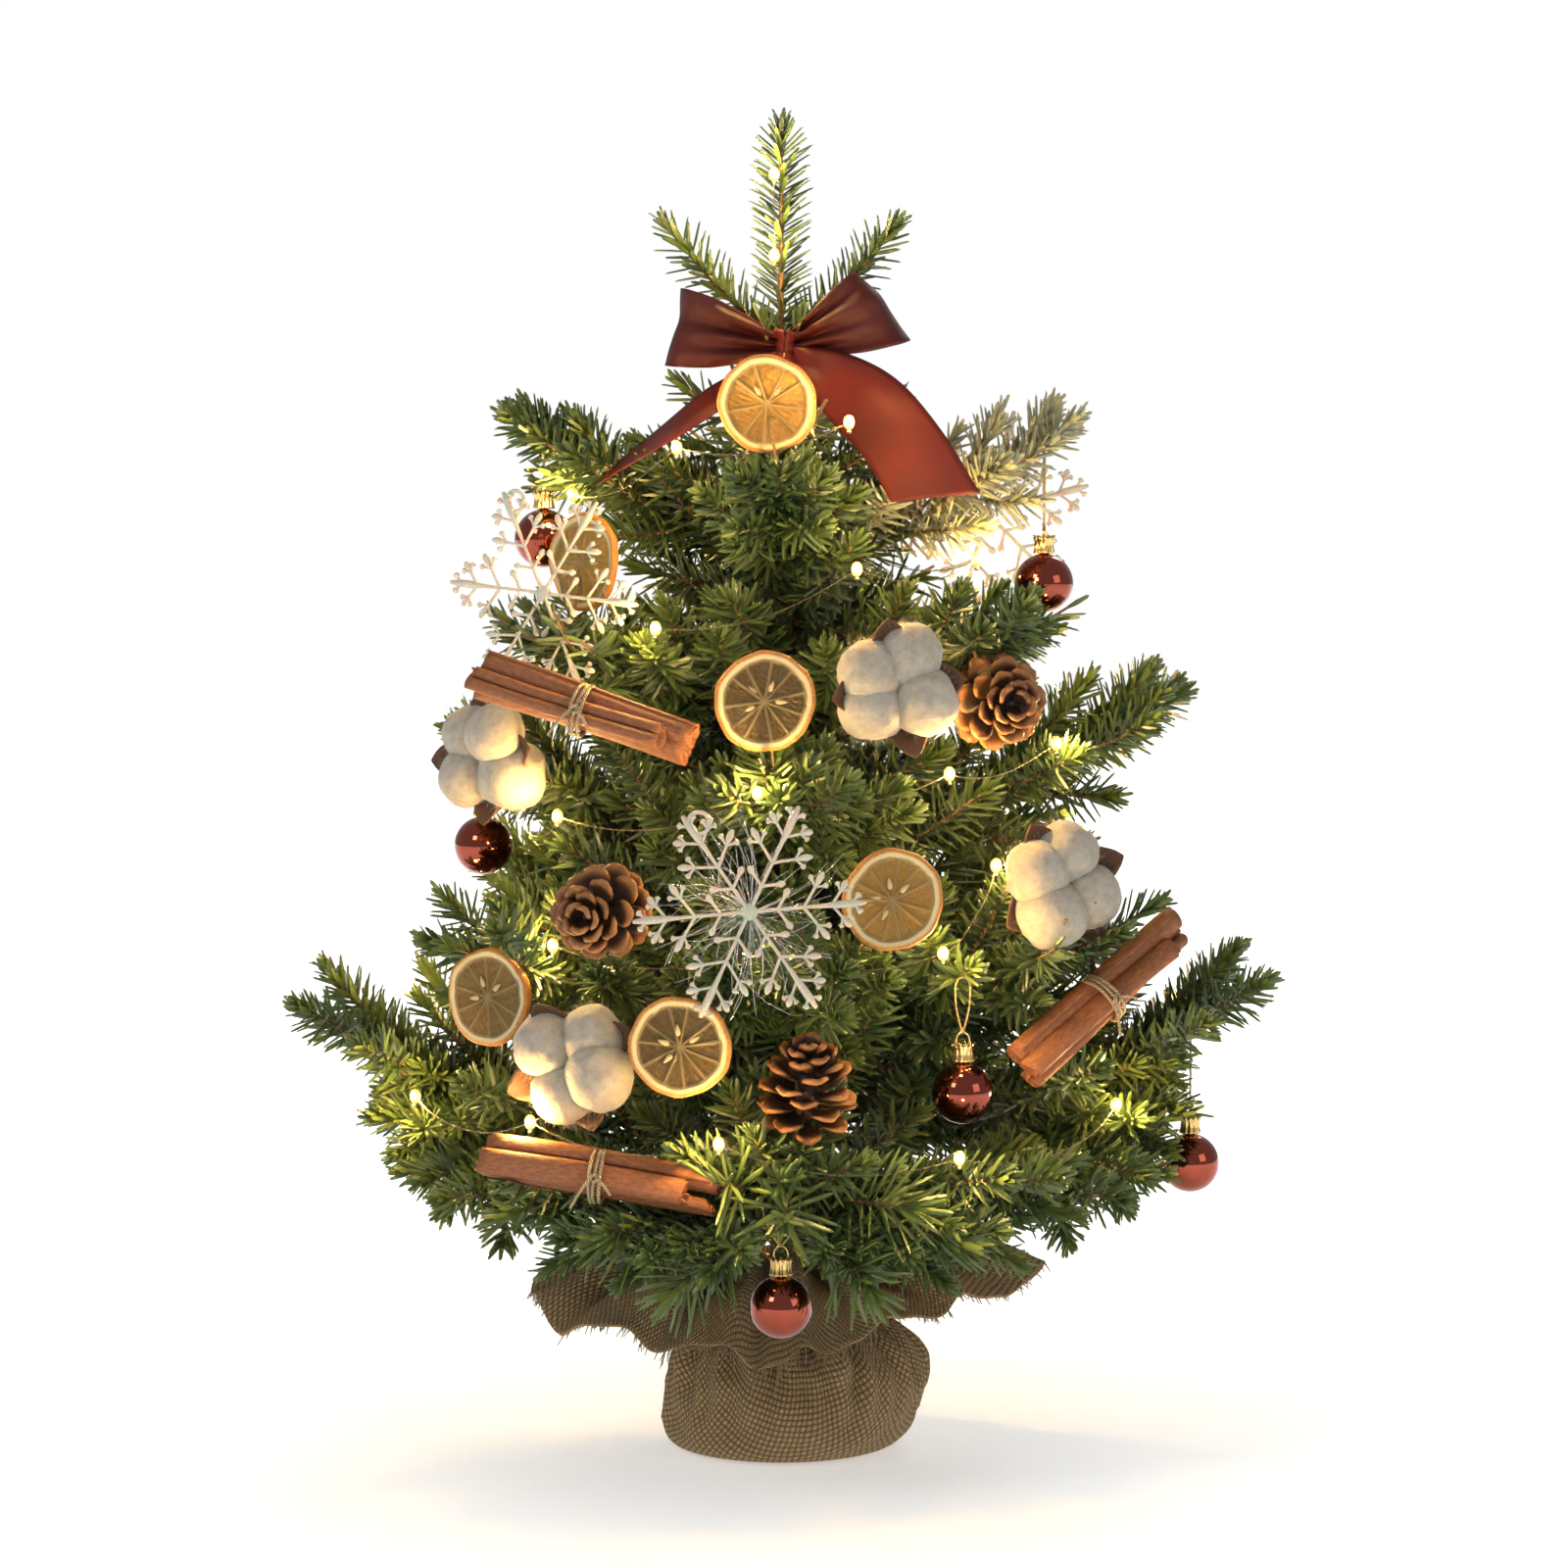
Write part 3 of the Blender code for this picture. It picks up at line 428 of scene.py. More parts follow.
def quillMaterial():
    m = Nodes("cinnamonBark", Roughness=0.62)
    streak = m.noise(m.coords("UV", (28, 900, 1)), 1.0, 5.0, 0.6)
    wide = m.noise(m.coords("UV", (60, 90, 1)), 1.0, 3.0)
    tone = m.tone()
    bark = m.ramp(streak, [(0.25, (0.13, 0.040, 0.014)), (0.5, (0.25, 0.085, 0.028)),
                           (0.8, (0.42, 0.165, 0.062))])
    bark = m.mix(m.math("MULTIPLY", wide, 0.5), bark, (0.28, 0.095, 0.030))
    m.color(m.mix(tone[0], bark, (0.12, 0.04, 0.015)))
    m.bump(streak, 0.0005, 0.8)
    return m.material


def twineMaterial(name, dark, pale):
    m = Nodes(name, Roughness=0.9)
    twist = m.node("ShaderNodeTexWave",
                   [("Vector", m.coords("UV", (420, 2, 1))), ("Scale", 1.0), ("Distortion", 1.5),
                    ("Detail", 2.0)], bands_direction="DIAGONAL").outputs["Fac"]
    m.color(m.ramp(twist, [(0.2, dark), (0.8, pale)]))
    m.bump(twist, 0.0005, 0.8)
    return m.material


def cottonMaterial():
    m = Nodes("cottonFluff", Roughness=1.0, Sheen_Weight=0.08, Sheen_Roughness=0.6, Subsurface_Weight=0.2,
              Subsurface_Scale=0.004)
    soft = m.noise(m.coords(), 260.0, 5.0, 0.65)
    m.color(m.ramp(soft, [(0.25, (0.31, 0.275, 0.215)), (0.6, (0.43, 0.39, 0.32))]))
    m.bump(soft, 0.0012, 0.5)
    return m.material


def calyxMaterial():
    m = Nodes("driedCalyx", Roughness=0.7)
    vein = m.noise(m.coords("UV", (5, 26, 1)), 1.0, 4.0)
    m.color(m.ramp(vein, [(0.3, (0.045, 0.018, 0.008)), (0.75, (0.17, 0.075, 0.032))]))
    m.bump(vein, 0.0006, 0.8)
    return m.material


def scaleMaterial():
    m = Nodes("coneScale", Roughness=0.55)
    tone = m.tone()
    grain = m.noise(m.coords(), 500.0, 4.0)
    # tone runs from near black at a scale's root to caramel at its tip: the pale tips are the scales' own
    # colour, the near-black roots are painted shade between the scales
    wood = m.ramp(tone[0], [(0.0, (0.010, 0.004, 0.002)), (0.5, (0.055, 0.018, 0.005)),
                            (0.8, (0.21, 0.072, 0.016)), (1.0, (0.36, 0.150, 0.038))])
    m.color(m.mix(m.math("MULTIPLY", grain, 0.45), wood, (0.07, 0.028, 0.010)))
    m.bump(grain, 0.0006, 0.7)
    return m.material


def flakeMaterial():
    m = Nodes("milkyPlastic", Roughness=0.22, Transmission_Weight=0.25, IOR=1.46, Subsurface_Weight=0.3,
              Subsurface_Scale=0.003)
    sparkle = m.noise(m.coords(), 1500.0, 2.0)
    m.color(m.ramp(sparkle, [(0.35, (0.60, 0.57, 0.46)), (0.7, (0.78, 0.75, 0.64))]))
    m.bump(sparkle, 0.0003, 0.6)
    return m.material


def tinselMaterial():
    m = Nodes("shineThread", Metallic=0.85, Roughness=0.18)
    glint = m.noise(m.coords(), 260.0, 2.0)
    m.color(m.ramp(glint, [(0.35, (0.55, 0.80, 0.86)), (0.5, (0.92, 0.92, 0.90)),
                           (0.65, (0.72, 0.62, 0.86))]))
    return m.material


def satinMaterial():
    m = Nodes("satinRibbon", Roughness=0.46, Anisotropic=0.4, Specular_IOR_Level=0.3)
    fine = m.node("ShaderNodeTexWave",
                  [("Vector", m.coords("UV", (60, 2600, 1))), ("Scale", 1.0), ("Distortion", 0.2)],
                  bands_direction="Y").outputs["Fac"]
    cloud = m.noise(m.coords(), 40.0, 2.0)
    base = m.ramp(cloud, [(0.3, (0.080, 0.0065, 0.003)), (0.7, (0.140, 0.012, 0.005))])
    cloth = m.mix(m.math("MULTIPLY", fine, 0.12), base, (0.28, 0.035, 0.018))
    # the tone's first channel darkens the cloth towards near black: painted shade, given over the whole of
    # both bow loops
    m.color(m.mix(m.tone()[0], cloth, (0.040, 0.004, 0.002)))
    m.bump(fine, 0.00012, 0.35)
    return m.material


def burlapMaterial():
    # Warp and weft: two square waves of yarns that pass over and under each other on the cloth's own UV.
    m = Nodes("burlapWeave", Roughness=0.95, Sheen_Weight=0.1)
    uv = m.coords("UV")
    wobble = m.noise(uv, 60.0, 2.0)
    moved = m.node("ShaderNodeVectorMath", [(0, uv), (1, (0.0, 0.0, 0.0))], operation="ADD")
    shift = m.node("ShaderNodeCombineXYZ",
                   [("X", m.math("MULTIPLY", wobble, 0.0016)), ("Y", m.math("MULTIPLY", wobble, -0.0012))])
    m.tree.links.new(shift.outputs[0], moved.inputs[1])
    split = m.node("ShaderNodeSeparateXYZ", [("Vector", moved.outputs[0])])
    pitch = math.pi / 0.0027
    x, y = (m.math("MULTIPLY", split.outputs[i], pitch) for i in (0, 1))
    sx, sy = m.math("SINE", x), m.math("SINE", y)
    yarnX, yarnY = m.math("ABSOLUTE", sx), m.math("ABSOLUTE", sy)
    over = m.math("GREATER_THAN", m.math("MULTIPLY", sx, sy), 0.0)
    crown = m.math("MULTIPLY", m.math("POWER", yarnX, 0.6), m.math("POWER", yarnY, 0.6))
    lift = m.math("MULTIPLY", over, m.math("MULTIPLY", yarnX, yarnY))
    height = m.math("ADD", m.math("MULTIPLY", crown, 0.7), m.math("MULTIPLY", lift, 0.5))
    fibre = m.noise(uv, 2200.0, 3.0)
    uneven = m.noise(uv, 130.0, 3.0)
    # colour by the weave's height: the crowns keep the jute's own colour, the yarns' sides darken and the
    # gaps go near black: painted shade between the yarns
    juteWithGapShade = m.ramp(height, [(0.10, (0.024, 0.014, 0.005)), (0.36, (0.25, 0.155, 0.060)),
                           (0.95, (0.60, 0.41, 0.185))])
    juteWithGapShade = m.mix(m.math("MULTIPLY", uneven, 0.5), juteWithGapShade, (0.33, 0.21, 0.086))
    m.color(m.mix(m.math("MULTIPLY", fibre, 0.22), juteWithGapShade, (0.48, 0.345, 0.165)))
    m.bump(m.math("ADD", height, m.math("MULTIPLY", fibre, 0.25)), 0.0013, 1.0)
    return m.material


def plasticMaterial(name, color, roughness, scale=700.0):
    m = Nodes(name, Roughness=roughness)
    grain = m.noise(m.coords(), scale, 3.0)
    m.color(m.ramp(grain, [(0.3, tuple(0.8 * c for c in color)),
                           (0.7, tuple(min(1, 1.25 * c) for c in color))]))
    m.bump(grain, 0.0001, 0.4)
    return m.material


def stoneMaterial():
    m = Nodes("castWeight", Roughness=0.9)
    grain = m.noise(m.coords(), 220.0, 6.0)
    m.color(m.ramp(grain, [(0.3, (0.34, 0.33, 0.31)), (0.7, (0.62, 0.60, 0.57))]))
    m.bump(grain, 0.0008, 0.6)
    return m.material


def lampMaterial():
    # Almost white round its middle, a deeper yellow towards both ends.
    m = Nodes("lampBead", Roughness=0.15, Emission_Strength=1.3)
    m.shader.inputs["Base Color"].default_value = (0.62, 0.30, 0.05, 1)
    m.put("Emission Color", m.ramp(m.tone()[0],
                                   [(0.35, (1.0, 0.36, 0.02)), (0.75, (1.0, 0.60, 0.10)),
                                    (0.97, (1.0, 0.90, 0.50))]))
    return m.material


def wireMaterial():
    m = Nodes("silverWire", Metallic=0.9, Roughness=0.3)
    grain = m.noise(m.coords(), 800.0, 2.0)
    m.color(m.ramp(grain, [(0.3, (0.14, 0.12, 0.07)), (0.7, (0.32, 0.28, 0.19))]))
    return m.material


# The tree's layout, the same routes as the frame's solids

hingeRadius = 0.0078
goldenAngle = 137.508  # degrees from one leaf, scale or shoot of a spiral to the next
branches = {  # azimuth, height of the root, reach, rise at the tip, spread of the side shoots
    "branch_5_right": (3, 0.400, 0.128, 0.058, 0.8),
    "branch_5_left": (178, 0.400, 0.120, 0.066, 0.8),
    "branch_5_front": (270, 0.395, 0.092, 0.046, 0.9),
    "branch_4_front_right": (325, 0.332, 0.137, 0.042, 0.9),
    "branch_4_front_left": (215, 0.332, 0.137, 0.038, 0.9),
    "branch_4_back": (90, 0.345, 0.120, 0.055, 1.2),
    "branch_3_right": (1, 0.262, 0.180, 0.078, 0.9),
    "branch_3_left": (180, 0.262, 0.148, 0.062, 0.9),
    "branch_3_front": (270, 0.262, 0.145, 0.042, 1.0),
    "branch_3_back": (90, 0.275, 0.145, 0.055, 1.1),
    "branch_2_front": (270, 0.190, 0.168, 0.046, 0.65),
    "branch_2_front_right": (322, 0.190, 0.184, 0.054, 0.7),
    "branch_2_front_left": (218, 0.190, 0.180, 0.048, 0.7),
    "branch_2_back_left": (140, 0.200, 0.165, 0.060, 0.9),
    "branch_2_back_right": (40, 0.200, 0.172, 0.060, 0.9),
    "branch_1_right": (357, 0.118, 0.218, 0.094, 1.1),
    "branch_1_left": (183, 0.118, 0.216, 0.082, 1.1),
    "branch_1_front": (270, 0.112, 0.182, 0.036, 1.15),
    "branch_1_back": (90, 0.150, 0.186, 0.030, 1.1),
}
shoots = ((0.34, 50, 0.50), (0.62, 42, 0.34))  # start along the branch, angle off it, share of its reach
balls = {  # branch, shoot, side, share along it, drop to the centre
    "ball_1": ("branch_5_left", 0, 0, 0.88, 0.046),
    "ball_2": ("branch_5_right", 0, 0, 0.92, 0.062),
    "ball_3": ("branch_3_left", 0, 0, 0.90, 0.044),
    "ball_4": ("branch_2_front_right", 1, -1, 0.90, 0.046),
    "ball_5": ("branch_1_right", 0, 0, 0.84, 0.064),
    "ball_6": ("branch_1_front", 0, 0, 0.90, 0.052),
}
slices = {  # azimuth, radius, height, azimuth faced, tilt
    "orange_slice_top": (265, 0.068, 0.470, 268, 0),
    "orange_slice_upper_left": (208, 0.098, 0.401, 225, 0),
    "orange_slice_middle": (267, 0.130, 0.344, 270, 0),
    "orange_slice_right": (287, 0.160, 0.262, 275, 0),
    "orange_slice_left": (221, 0.166, 0.216, 235, 0),
    "orange_slice_low": (256, 0.174, 0.202, 262, 0),
}
bundles = {  # here and below: azimuth, radius, height, azimuth faced, tilt
    "cinnamon_upper": (235, 0.146, 0.340, 255, -17),
    "cinnamon_lower": (244, 0.174, 0.146, 262, -8),
    "cinnamon_right": (326, 0.166, 0.214, 300, 35),
}
bolls = {
    "cotton_middle": (292, 0.130, 0.350, 285, 10),
    "cotton_left": (204, 0.140, 0.315, 230, 0),
    "cotton_right": (319, 0.158, 0.264, 290, 30),
    "cotton_low": (238, 0.166, 0.192, 255, 20),
}
cones = {
    "pinecone_right": (316, 0.130, 0.342, 290, 0),
    "pinecone_left": (243, 0.168, 0.256, 250, 0),
    "pinecone_low": (274, 0.158, 0.183, 272, 70),
}
flakes = {
    "snowflake_front": (266, 0.186, 0.260, 268, 10),
    "snowflake_left": (215, 0.126, 0.388, 240, 0),
    "snowflake_right": (33, 0.113, 0.421, 270, 20),
}
heldBy = {
    "orange_slice_top": "branch_5_front", "orange_slice_upper_left": "branch_4_front_left",
    "orange_slice_middle": "branch_3_front", "orange_slice_right": "branch_2_front",
    "orange_slice_left": "branch_2_front_left", "orange_slice_low": "branch_2_front",
    "cinnamon_upper": "branch_3_front", "cinnamon_lower": "branch_1_front",
    "cinnamon_right": "branch_2_front_right", "cotton_middle": "branch_4_front_right",
    "cotton_left": "branch_3_left", "cotton_right": "branch_2_front_right",
    "cotton_low": "branch_2_front_left", "pinecone_right": "branch_4_front_right",
    "pinecone_left": "branch_2_front_left", "pinecone_low": "branch_1_front",
    "snowflake_front": "branch_2_front", "snowflake_left": "branch_4_front_left",
    "snowflake_right": "branch_5_right",
}
lamps = np.array([  # azimuth, radius, height of each lamp, from the top down to the battery box
    (256, 0.0125, 0.572), (256, 0.0125, 0.536), (270, 0.0062, 0.478), (289, 0.090, 0.462),
    (240, 0.090, 0.451), (190, 0.094, 0.430), (120, 0.080, 0.420), (60, 0.045, 0.412),
    (335, 0.095, 0.402), (289, 0.100, 0.399), (243, 0.118, 0.374), (185, 0.112, 0.366),
    (135, 0.110, 0.356), (70, 0.115, 0.346), (25, 0.120, 0.336), (333, 0.135, 0.322),
    (303, 0.132, 0.312), (266, 0.142, 0.306), (222, 0.130, 0.292), (165, 0.130, 0.290),
    (115, 0.130, 0.284), (60, 0.135, 0.280), (12, 0.140, 0.276), (312, 0.138, 0.272),
    (296, 0.156, 0.238), (264, 0.146, 0.240), (228, 0.146, 0.238), (190, 0.150, 0.230),
    (140, 0.150, 0.222), (95, 0.140, 0.210), (30, 0.150, 0.200), (330, 0.168, 0.166),
    (293, 0.190, 0.156), (262, 0.185, 0.163), (234, 0.180, 0.167), (204, 0.175, 0.168),
    (160, 0.150, 0.150), (110, 0.100, 0.128), (80, 0.050, 0.150),
])


def branchLine(name, along):  # from root to tip: a straight run whose climb steepens a little
    azimuth, height, reach, rise, _ = branches[name]
    along = np.asarray(along, float)
    climb = rise * (0.75 * along + 0.25 * along**2)
    return place(azimuth, hingeRadius + (reach - hingeRadius) * along, height + climb)


def sideLine(name, start, angle, length, side):  # a side shoot: straight from its root on the branch
    azimuth, _, reach, rise, spread = branches[name]
    root = branchLine(name, start)
    ahead = place(azimuth + side * angle * spread, 1.0, 0.7 * rise / reach)
    return lambda along: root + ahead * (length * reach * np.asarray(along, float)[..., None])


# Ornaments; each one also leaves sample points that the needles keep clear of

clearPoints = []


def keepClear(part):
    clearPoints.append(np.concatenate(part.points))


cotton = {"lobes": 4, "lobeSize": 0.0150, "offset": 0.0134, "fibres": 2500, "fibreLength": 0.0030}


def fluff(part, seeds, outward, rng, count, length):
    # Fine curved hairs: short thin tubes from the skin, each bent by a random sideways push.
    pick = rng.integers(0, len(seeds), count)
    root, out = seeds[pick], outward[pick]
    sideways = unit(rng.normal(size=(count, 3)))
    size = length * rng.uniform(0.4, 1.2, (count, 1))
    t = np.linspace(0, 1, 4)[None, :, None]
    path = root[:, None] - out[:, None] * 0.001 + (out * 0.75 * size)[:, None] * t
    path = path + (sideways * size)[:, None] * t**1.6
    tubes(part, path, np.linspace(0.00007, 0.00003, 4)[None], 3)


def cottonBoll(name, spec, seed):
    # Lobes are spheres swollen by three sizes of smooth noise, with hairs on them and bracts behind.
    rng = np.random.default_rng(seed)
    turn, center = facing(spec[3], spec[4]), place(*spec[:3])
    lump, fuzz = Part(), Part()
    for i in range(cotton["lobes"]):
        a = math.radians(45 + 90 * i + rng.uniform(-15, 15))
        spot = np.array([cotton["offset"] * math.cos(a), rng.uniform(-0.006, 0.003),
                         cotton["offset"] * math.sin(a)])
        size = cotton["lobeSize"] * rng.uniform(0.86, 1.08)
        grid = ballGrid((0, 0, 0), (size, size * 0.98, size), 34, 44)
        out = unit(grid)
        swell = 1 + 0.07 * waves(grid, 0.024, seed + i) + 0.020 * waves(grid, 0.009, seed + 9 + i)
        swell = swell + 0.010 * waves(grid, 0.0035, seed + 20)
        grid = (spot + grid * swell[..., None]) @ turn.T + center
        closedGrid(lump, grid)
        fluff(fuzz, grid.reshape(-1, 3), (out @ turn.T).reshape(-1, 3), rng, cotton["fibres"] // 4,
              cotton["fibreLength"])
    body = heldBy[name] + "_arm"
    lump.make(name + "_lobes", cottonLook, body, [name])
    fuzz.make(name + "_fuzz", cottonLook, body, [name])
    keepClear(lump)
    # four dried bracts behind the lobes: each a pointed leaf whose edges roll and whose tip curls back
    husk = Part()
    u, v = np.meshgrid(np.linspace(0, 1, 12), np.linspace(-1, 1, 7), indexing="ij")
    for i in range(4):
        a = math.radians(90 * i + rng.uniform(-12, 12))
        wide = 0.0092 * np.sin(np.pi * np.clip(0.12 + 0.88 * u, 0, 1)) ** 0.8 + 0.0004
        reach = 0.004 + 0.0275 * u * rng.uniform(0.9, 1.0)
        lift = 0.0135 - 0.023 * u + 0.004 * u**3 - 0.0030 * v**2 * np.sin(np.pi * u)
        leaf = np.stack([wide * v, lift + 0.0006 * np.sin(9 * u + i), reach], -1)
        leaf = leaf @ turnY(math.degrees(a)).T @ turn.T + center
        shell(husk, leaf, 0.0009)
    stem = np.stack([np.zeros(6), np.linspace(0.004, 0.020, 6), np.zeros(6)], -1)
    tubes(husk, stem @ turn.T + center, np.linspace(0.0042, 0.0022, 6), 10)
    husk.make(name + "_calyx", calyxLook, body, [name])


fruit = {"segments": 10, "radius": 0.0215, "half": 0.0019,
         "gold": {"orange_slice_top": 0.6, "orange_slice_upper_left": 1.0, "orange_slice_right": 0.9,
                  "orange_slice_left": 0.4}}


def orangeSlice(name, spec, seed):
    # Polar grids of the two faces: a rounded rind ring, pale pith, and sunken cells between raised membranes.
    rng = np.random.default_rng(seed)
    turn, center = facing(spec[3], spec[4] + rng.uniform(-30, 30)), place(*spec[:3])
    cols, big, half = 180, fruit["radius"], fruit["half"]
    a = math.tau * np.arange(cols) / cols
    count = fruit["segments"] + int(rng.integers(-1, 2))
    edges = np.sort((np.arange(count) + rng.uniform(-0.20, 0.20, count)) * math.tau / count)
    nearest = np.abs((a[:, None] - edges + math.pi) % math.tau - math.pi).min(1)
    outline = 1 + 0.018 * np.sin(2 * a + seed) + 0.012 * np.sin(5 * a + 2 * seed)
    outline = outline + 0.006 * np.sin(11 * a + seed)

    def bend(x, z):  # the dried slice's warp
        twist = 0.0011 * np.sin(2 * np.arctan2(z, x) + seed) * ((x**2 + z**2) / big**2)
        return twist + 0.0005 * np.sin(190 * x + seed)

    def face(rows, height, front):
        r = rows[:, None] * outline * big
        x, z = r * np.cos(a), r * np.sin(a)
        y = (-height if front else height) + bend(x, z)
        return np.stack([x, y, z], -1)

    rows = np.linspace(0.03, 0.83, 30)
    r = rows[:, None]
    wall = np.exp(-((nearest * r / 0.028) ** 2)) + np.exp(-((r / 0.075) ** 2)) + blendStep(r, 0.765, 0.80)
    wall = np.clip(wall, 0, 1)
    grain = waves(np.stack([r * np.cos(a), r * np.sin(a), 0 * r * a], -1), 0.13, seed) * 0.16
    height = half * (0.34 + grain * (1 - wall) + 0.42 * wall)
    tones = np.stack([0.85 * wall, 0 * wall + fruit["gold"].get(name, 0.1), 0 * wall], -1)
    cells = Part()
    for front in (True, False):
        grid = face(rows, height, front)
        index, corners = gridQuads(len(rows), cols, True)
        if front:
            index, corners = index[:, ::-1], corners[:, ::-1]
        middle = grid[0].mean(0)[None]
        i = np.arange(cols)
        j = (i + 1) % cols
        cap = np.stack([np.full(cols, len(rows) * cols), j, i], -1)
        if front:
            cap = cap[:, ::-1]
        uv = np.stack([corners[..., 0] / len(rows), corners[..., 1] / cols * 4], -1)
        cells.add((np.concatenate([grid.reshape(-1, 3), middle])) @ turn.T + center, [index, cap],
                  [uv, np.zeros((cols, 3, 2))], np.concatenate([tones.reshape(-1, 3), np.ones((1, 3))]))
    # join the two faces' rims
    each = len(rows) * cols + 1
    i = np.arange(cols)
    j = (i + 1) % cols
    last = (len(rows) - 1) * cols
    rim = np.stack([last + i, last + j, each + last + j, each + last + i], -1)
    cells.add(np.zeros((0, 3)), [rim - cells.count], [np.zeros((cols, 4, 2))])
    cells.make(name + "_flesh", fleshLook, heldBy[name] + "_arm", [name])
    # rind: a ring whose section is a rounded wedge, pale inside and orange outside
    section = np.array([(0.815, 0.72), (0.86, 0.80), (0.90, 0.92), (0.935, 1.0), (0.97, 0.92),
                        (0.995, 0.6), (1.0, 0.0),
                        (0.995, -0.6), (0.97, -0.92), (0.935, -1.0), (0.90, -0.92), (0.86, -0.80),
                        (0.815, -0.72), (0.80, 0.0)])
    rough = 1 + 0.10 * waves(np.stack([8 * np.cos(a), 8 * np.sin(a), 0 * a], -1), 2.1, seed + 5)
    r = section[:, :1] * outline * big
    x, z = r * np.cos(a), r * np.sin(a)
    y = -section[:, 1:] * half * rough + bend(x, z)
    grid = np.stack([x, y, z], -1) @ turn.T + center
    index, corners = gridQuads(len(section) + 1, cols, True)
    index = index % (len(section) * cols)
    pale = np.where(section[:, 0] < 0.915, 1.0, 0.0)
    ring = Part()
    ring.add(grid.reshape(-1, 3), [index[:, ::-1]],
             [np.stack([corners[..., 0] / 14, corners[..., 1] / cols], -1)[:, ::-1]],
             np.repeat(np.stack([pale, pale, pale], -1), cols, 0))
    for k in range(int(rng.integers(2, 5))):  # a few seeds left in the cells
        at = edges[k * 2 % count] + 0.32
        pip = ballGrid((0, 0, 0), (0.0026, 0.0009, 0.0011), 8, 10)
        pip[..., 2] *= np.clip(1.0 - pip[..., 0] / 0.0052, 0.4, 1.4)
        pip = (pip + np.array([0.33 * big, -0.0009, 0])) @ turnY(-math.degrees(at)).T
        closedGrid(ring, pip @ turn.T + center, np.ones((8, 10, 3)) * 0.75)
    ring.make(name + "_rind", rindLook, heldBy[name] + "_arm", [name])
    keepClear(ring)
    keepClear(cells)


stick = {"radius": 0.0052, "length": 0.098, "wall": 0.0009}


def quill(part, start, ahead, sideways, length, radius, seed, curls=2):
    # Bark rolled from one or both edges: the section is a spiral whose radius shrinks towards its inner end.
    rng = np.random.default_rng(seed)
    ahead, sideways = unit(np.asarray(ahead, float)), unit(np.asarray(sideways, float))
    over = np.cross(ahead, sideways)
    s = np.linspace(-1, 1, 61)
    if curls == 2:
        shift = radius * 0.50 * np.tanh(s * 7)
        a = math.pi / 2 - np.sign(s + 1e-9) * np.abs(s) ** 1.1 * 2.6 * math.pi
        size = radius * (0.56 - 0.26 * np.abs(s))
        x = shift + size * np.cos(a)
        z = size * np.sin(a)
    else:
        a = s * 2.4 * math.pi
        size = radius * (0.62 + 0.36 * (s + 1) / 2)
        x, z = size * np.cos(a), size * np.sin(a)
    u = np.linspace(0, 1, 24)
    swell = 1 + 0.05 * waves(np.stack([u * 0.1 + seed, u * 0, u * 0], -1), 0.05, seed)
    bow = 0.0010 * np.sin(np.pi * u + rng.uniform(0, 3))
    ragged = 0.0022 * waves(np.stack([s, 0 * s, 0 * s], -1), 0.6, seed + 3)
    torn = np.sign(u[:, None] - 0.5) * (np.abs(u[:, None] - 0.5) > 0.44)
    along = (u[:, None] - 0.5) * length + ragged * torn
    grid = start + along[..., None] * ahead + (x * swell[:, None] + bow[:, None])[..., None] * sideways
    grid = grid + (z * swell[:, None])[..., None] * over
    shell(part, grid, stick["wall"], uv=lambda c: np.stack([c[..., 0] * length * 10, c[..., 1] * 0.06], -1))


def cinnamonBundle(name, spec, seed):
    # Two quills side by side and one in front of them, wound with three turns of twine and a knot.
    rng = np.random.default_rng(seed)
    turn, center = facing(spec[3], spec[4]), place(*spec[:3])
    bark = Part()
    lean = 0.98 * stick["radius"]
    for i, (z, y, share) in enumerate(((-lean, 0, 1.0), (lean, 0, 1.0), (0, -1.7 * lean, 0.9))):
        spot = np.array([0.004 * (z > 0) - 0.003 * i, y, z])
        tilt = turnY(rng.uniform(-1.5, 1.5)) @ turnZ(rng.uniform(-1.2, 1.2))
        ahead = turn @ tilt @ np.array([1.0, 0, 0])
        side = turn @ turnX(rng.uniform(0, 360)) @ np.array([0, 0, 1.0])
        quill(bark, turn @ spot + center, ahead, side - ahead * (side @ ahead), stick["length"] * share,
              stick["radius"] * 1.03, seed * 5 + i, 2 if i != 1 else 1)
    bark.make(name + "_bark", barkLook, heldBy[name] + "_arm", [name])
    keepClear(bark)
    twine = Part()
    wind = 2.05 * stick["radius"] + 0.0003
    a = np.linspace(0, 3 * math.tau, 110)
    coil = np.stack([0.0028 * (a / math.tau / 3 - 0.5) * 2.2, -0.55 * lean + 0.97 * wind * np.cos(a),
                     wind * np.sin(a)], -1)
    coil += 0.0003 * np.stack([np.sin(a * 1.7), np.sin(a * 2.3), np.cos(a * 1.9)], -1)
    coilNormal = np.broadcast_to(turn @ np.array([1.0, 0, 0]), (1, 1, 3))
    tubes(twine, coil @ turn.T + center, 0.00075, 8, normal=coilNormal)
    front = -0.55 * lean - wind
    b = np.linspace(0, math.tau * 1.4, 40)
    knot = np.stack([0.0016 * np.cos(b), front - 0.0008 + 0.0011 * np.sin(2 * b),
                     0.0013 * np.sin(b) + 0.001], -1)
    tubes(twine, knot @ turn.T + center, 0.0008, 8, normal=coilNormal)
    t = np.linspace(0, 1, 14)
    for way in (-1, 1):
        drop = 0.001 - 0.010 * t**1.4 + 0.004 * t * way
        end = np.stack([way * (0.001 + 0.007 * t), front - 0.0012 - 0.001 * np.sin(3 * t), drop], -1)
        tubes(twine, end @ turn.T + center, np.linspace(0.0007, 0.00055, 14), 8)
    twine.make(name + "_twine", stringLook, heldBy[name] + "_arm", [name])


cone = {"length": 0.040, "scales": 38}


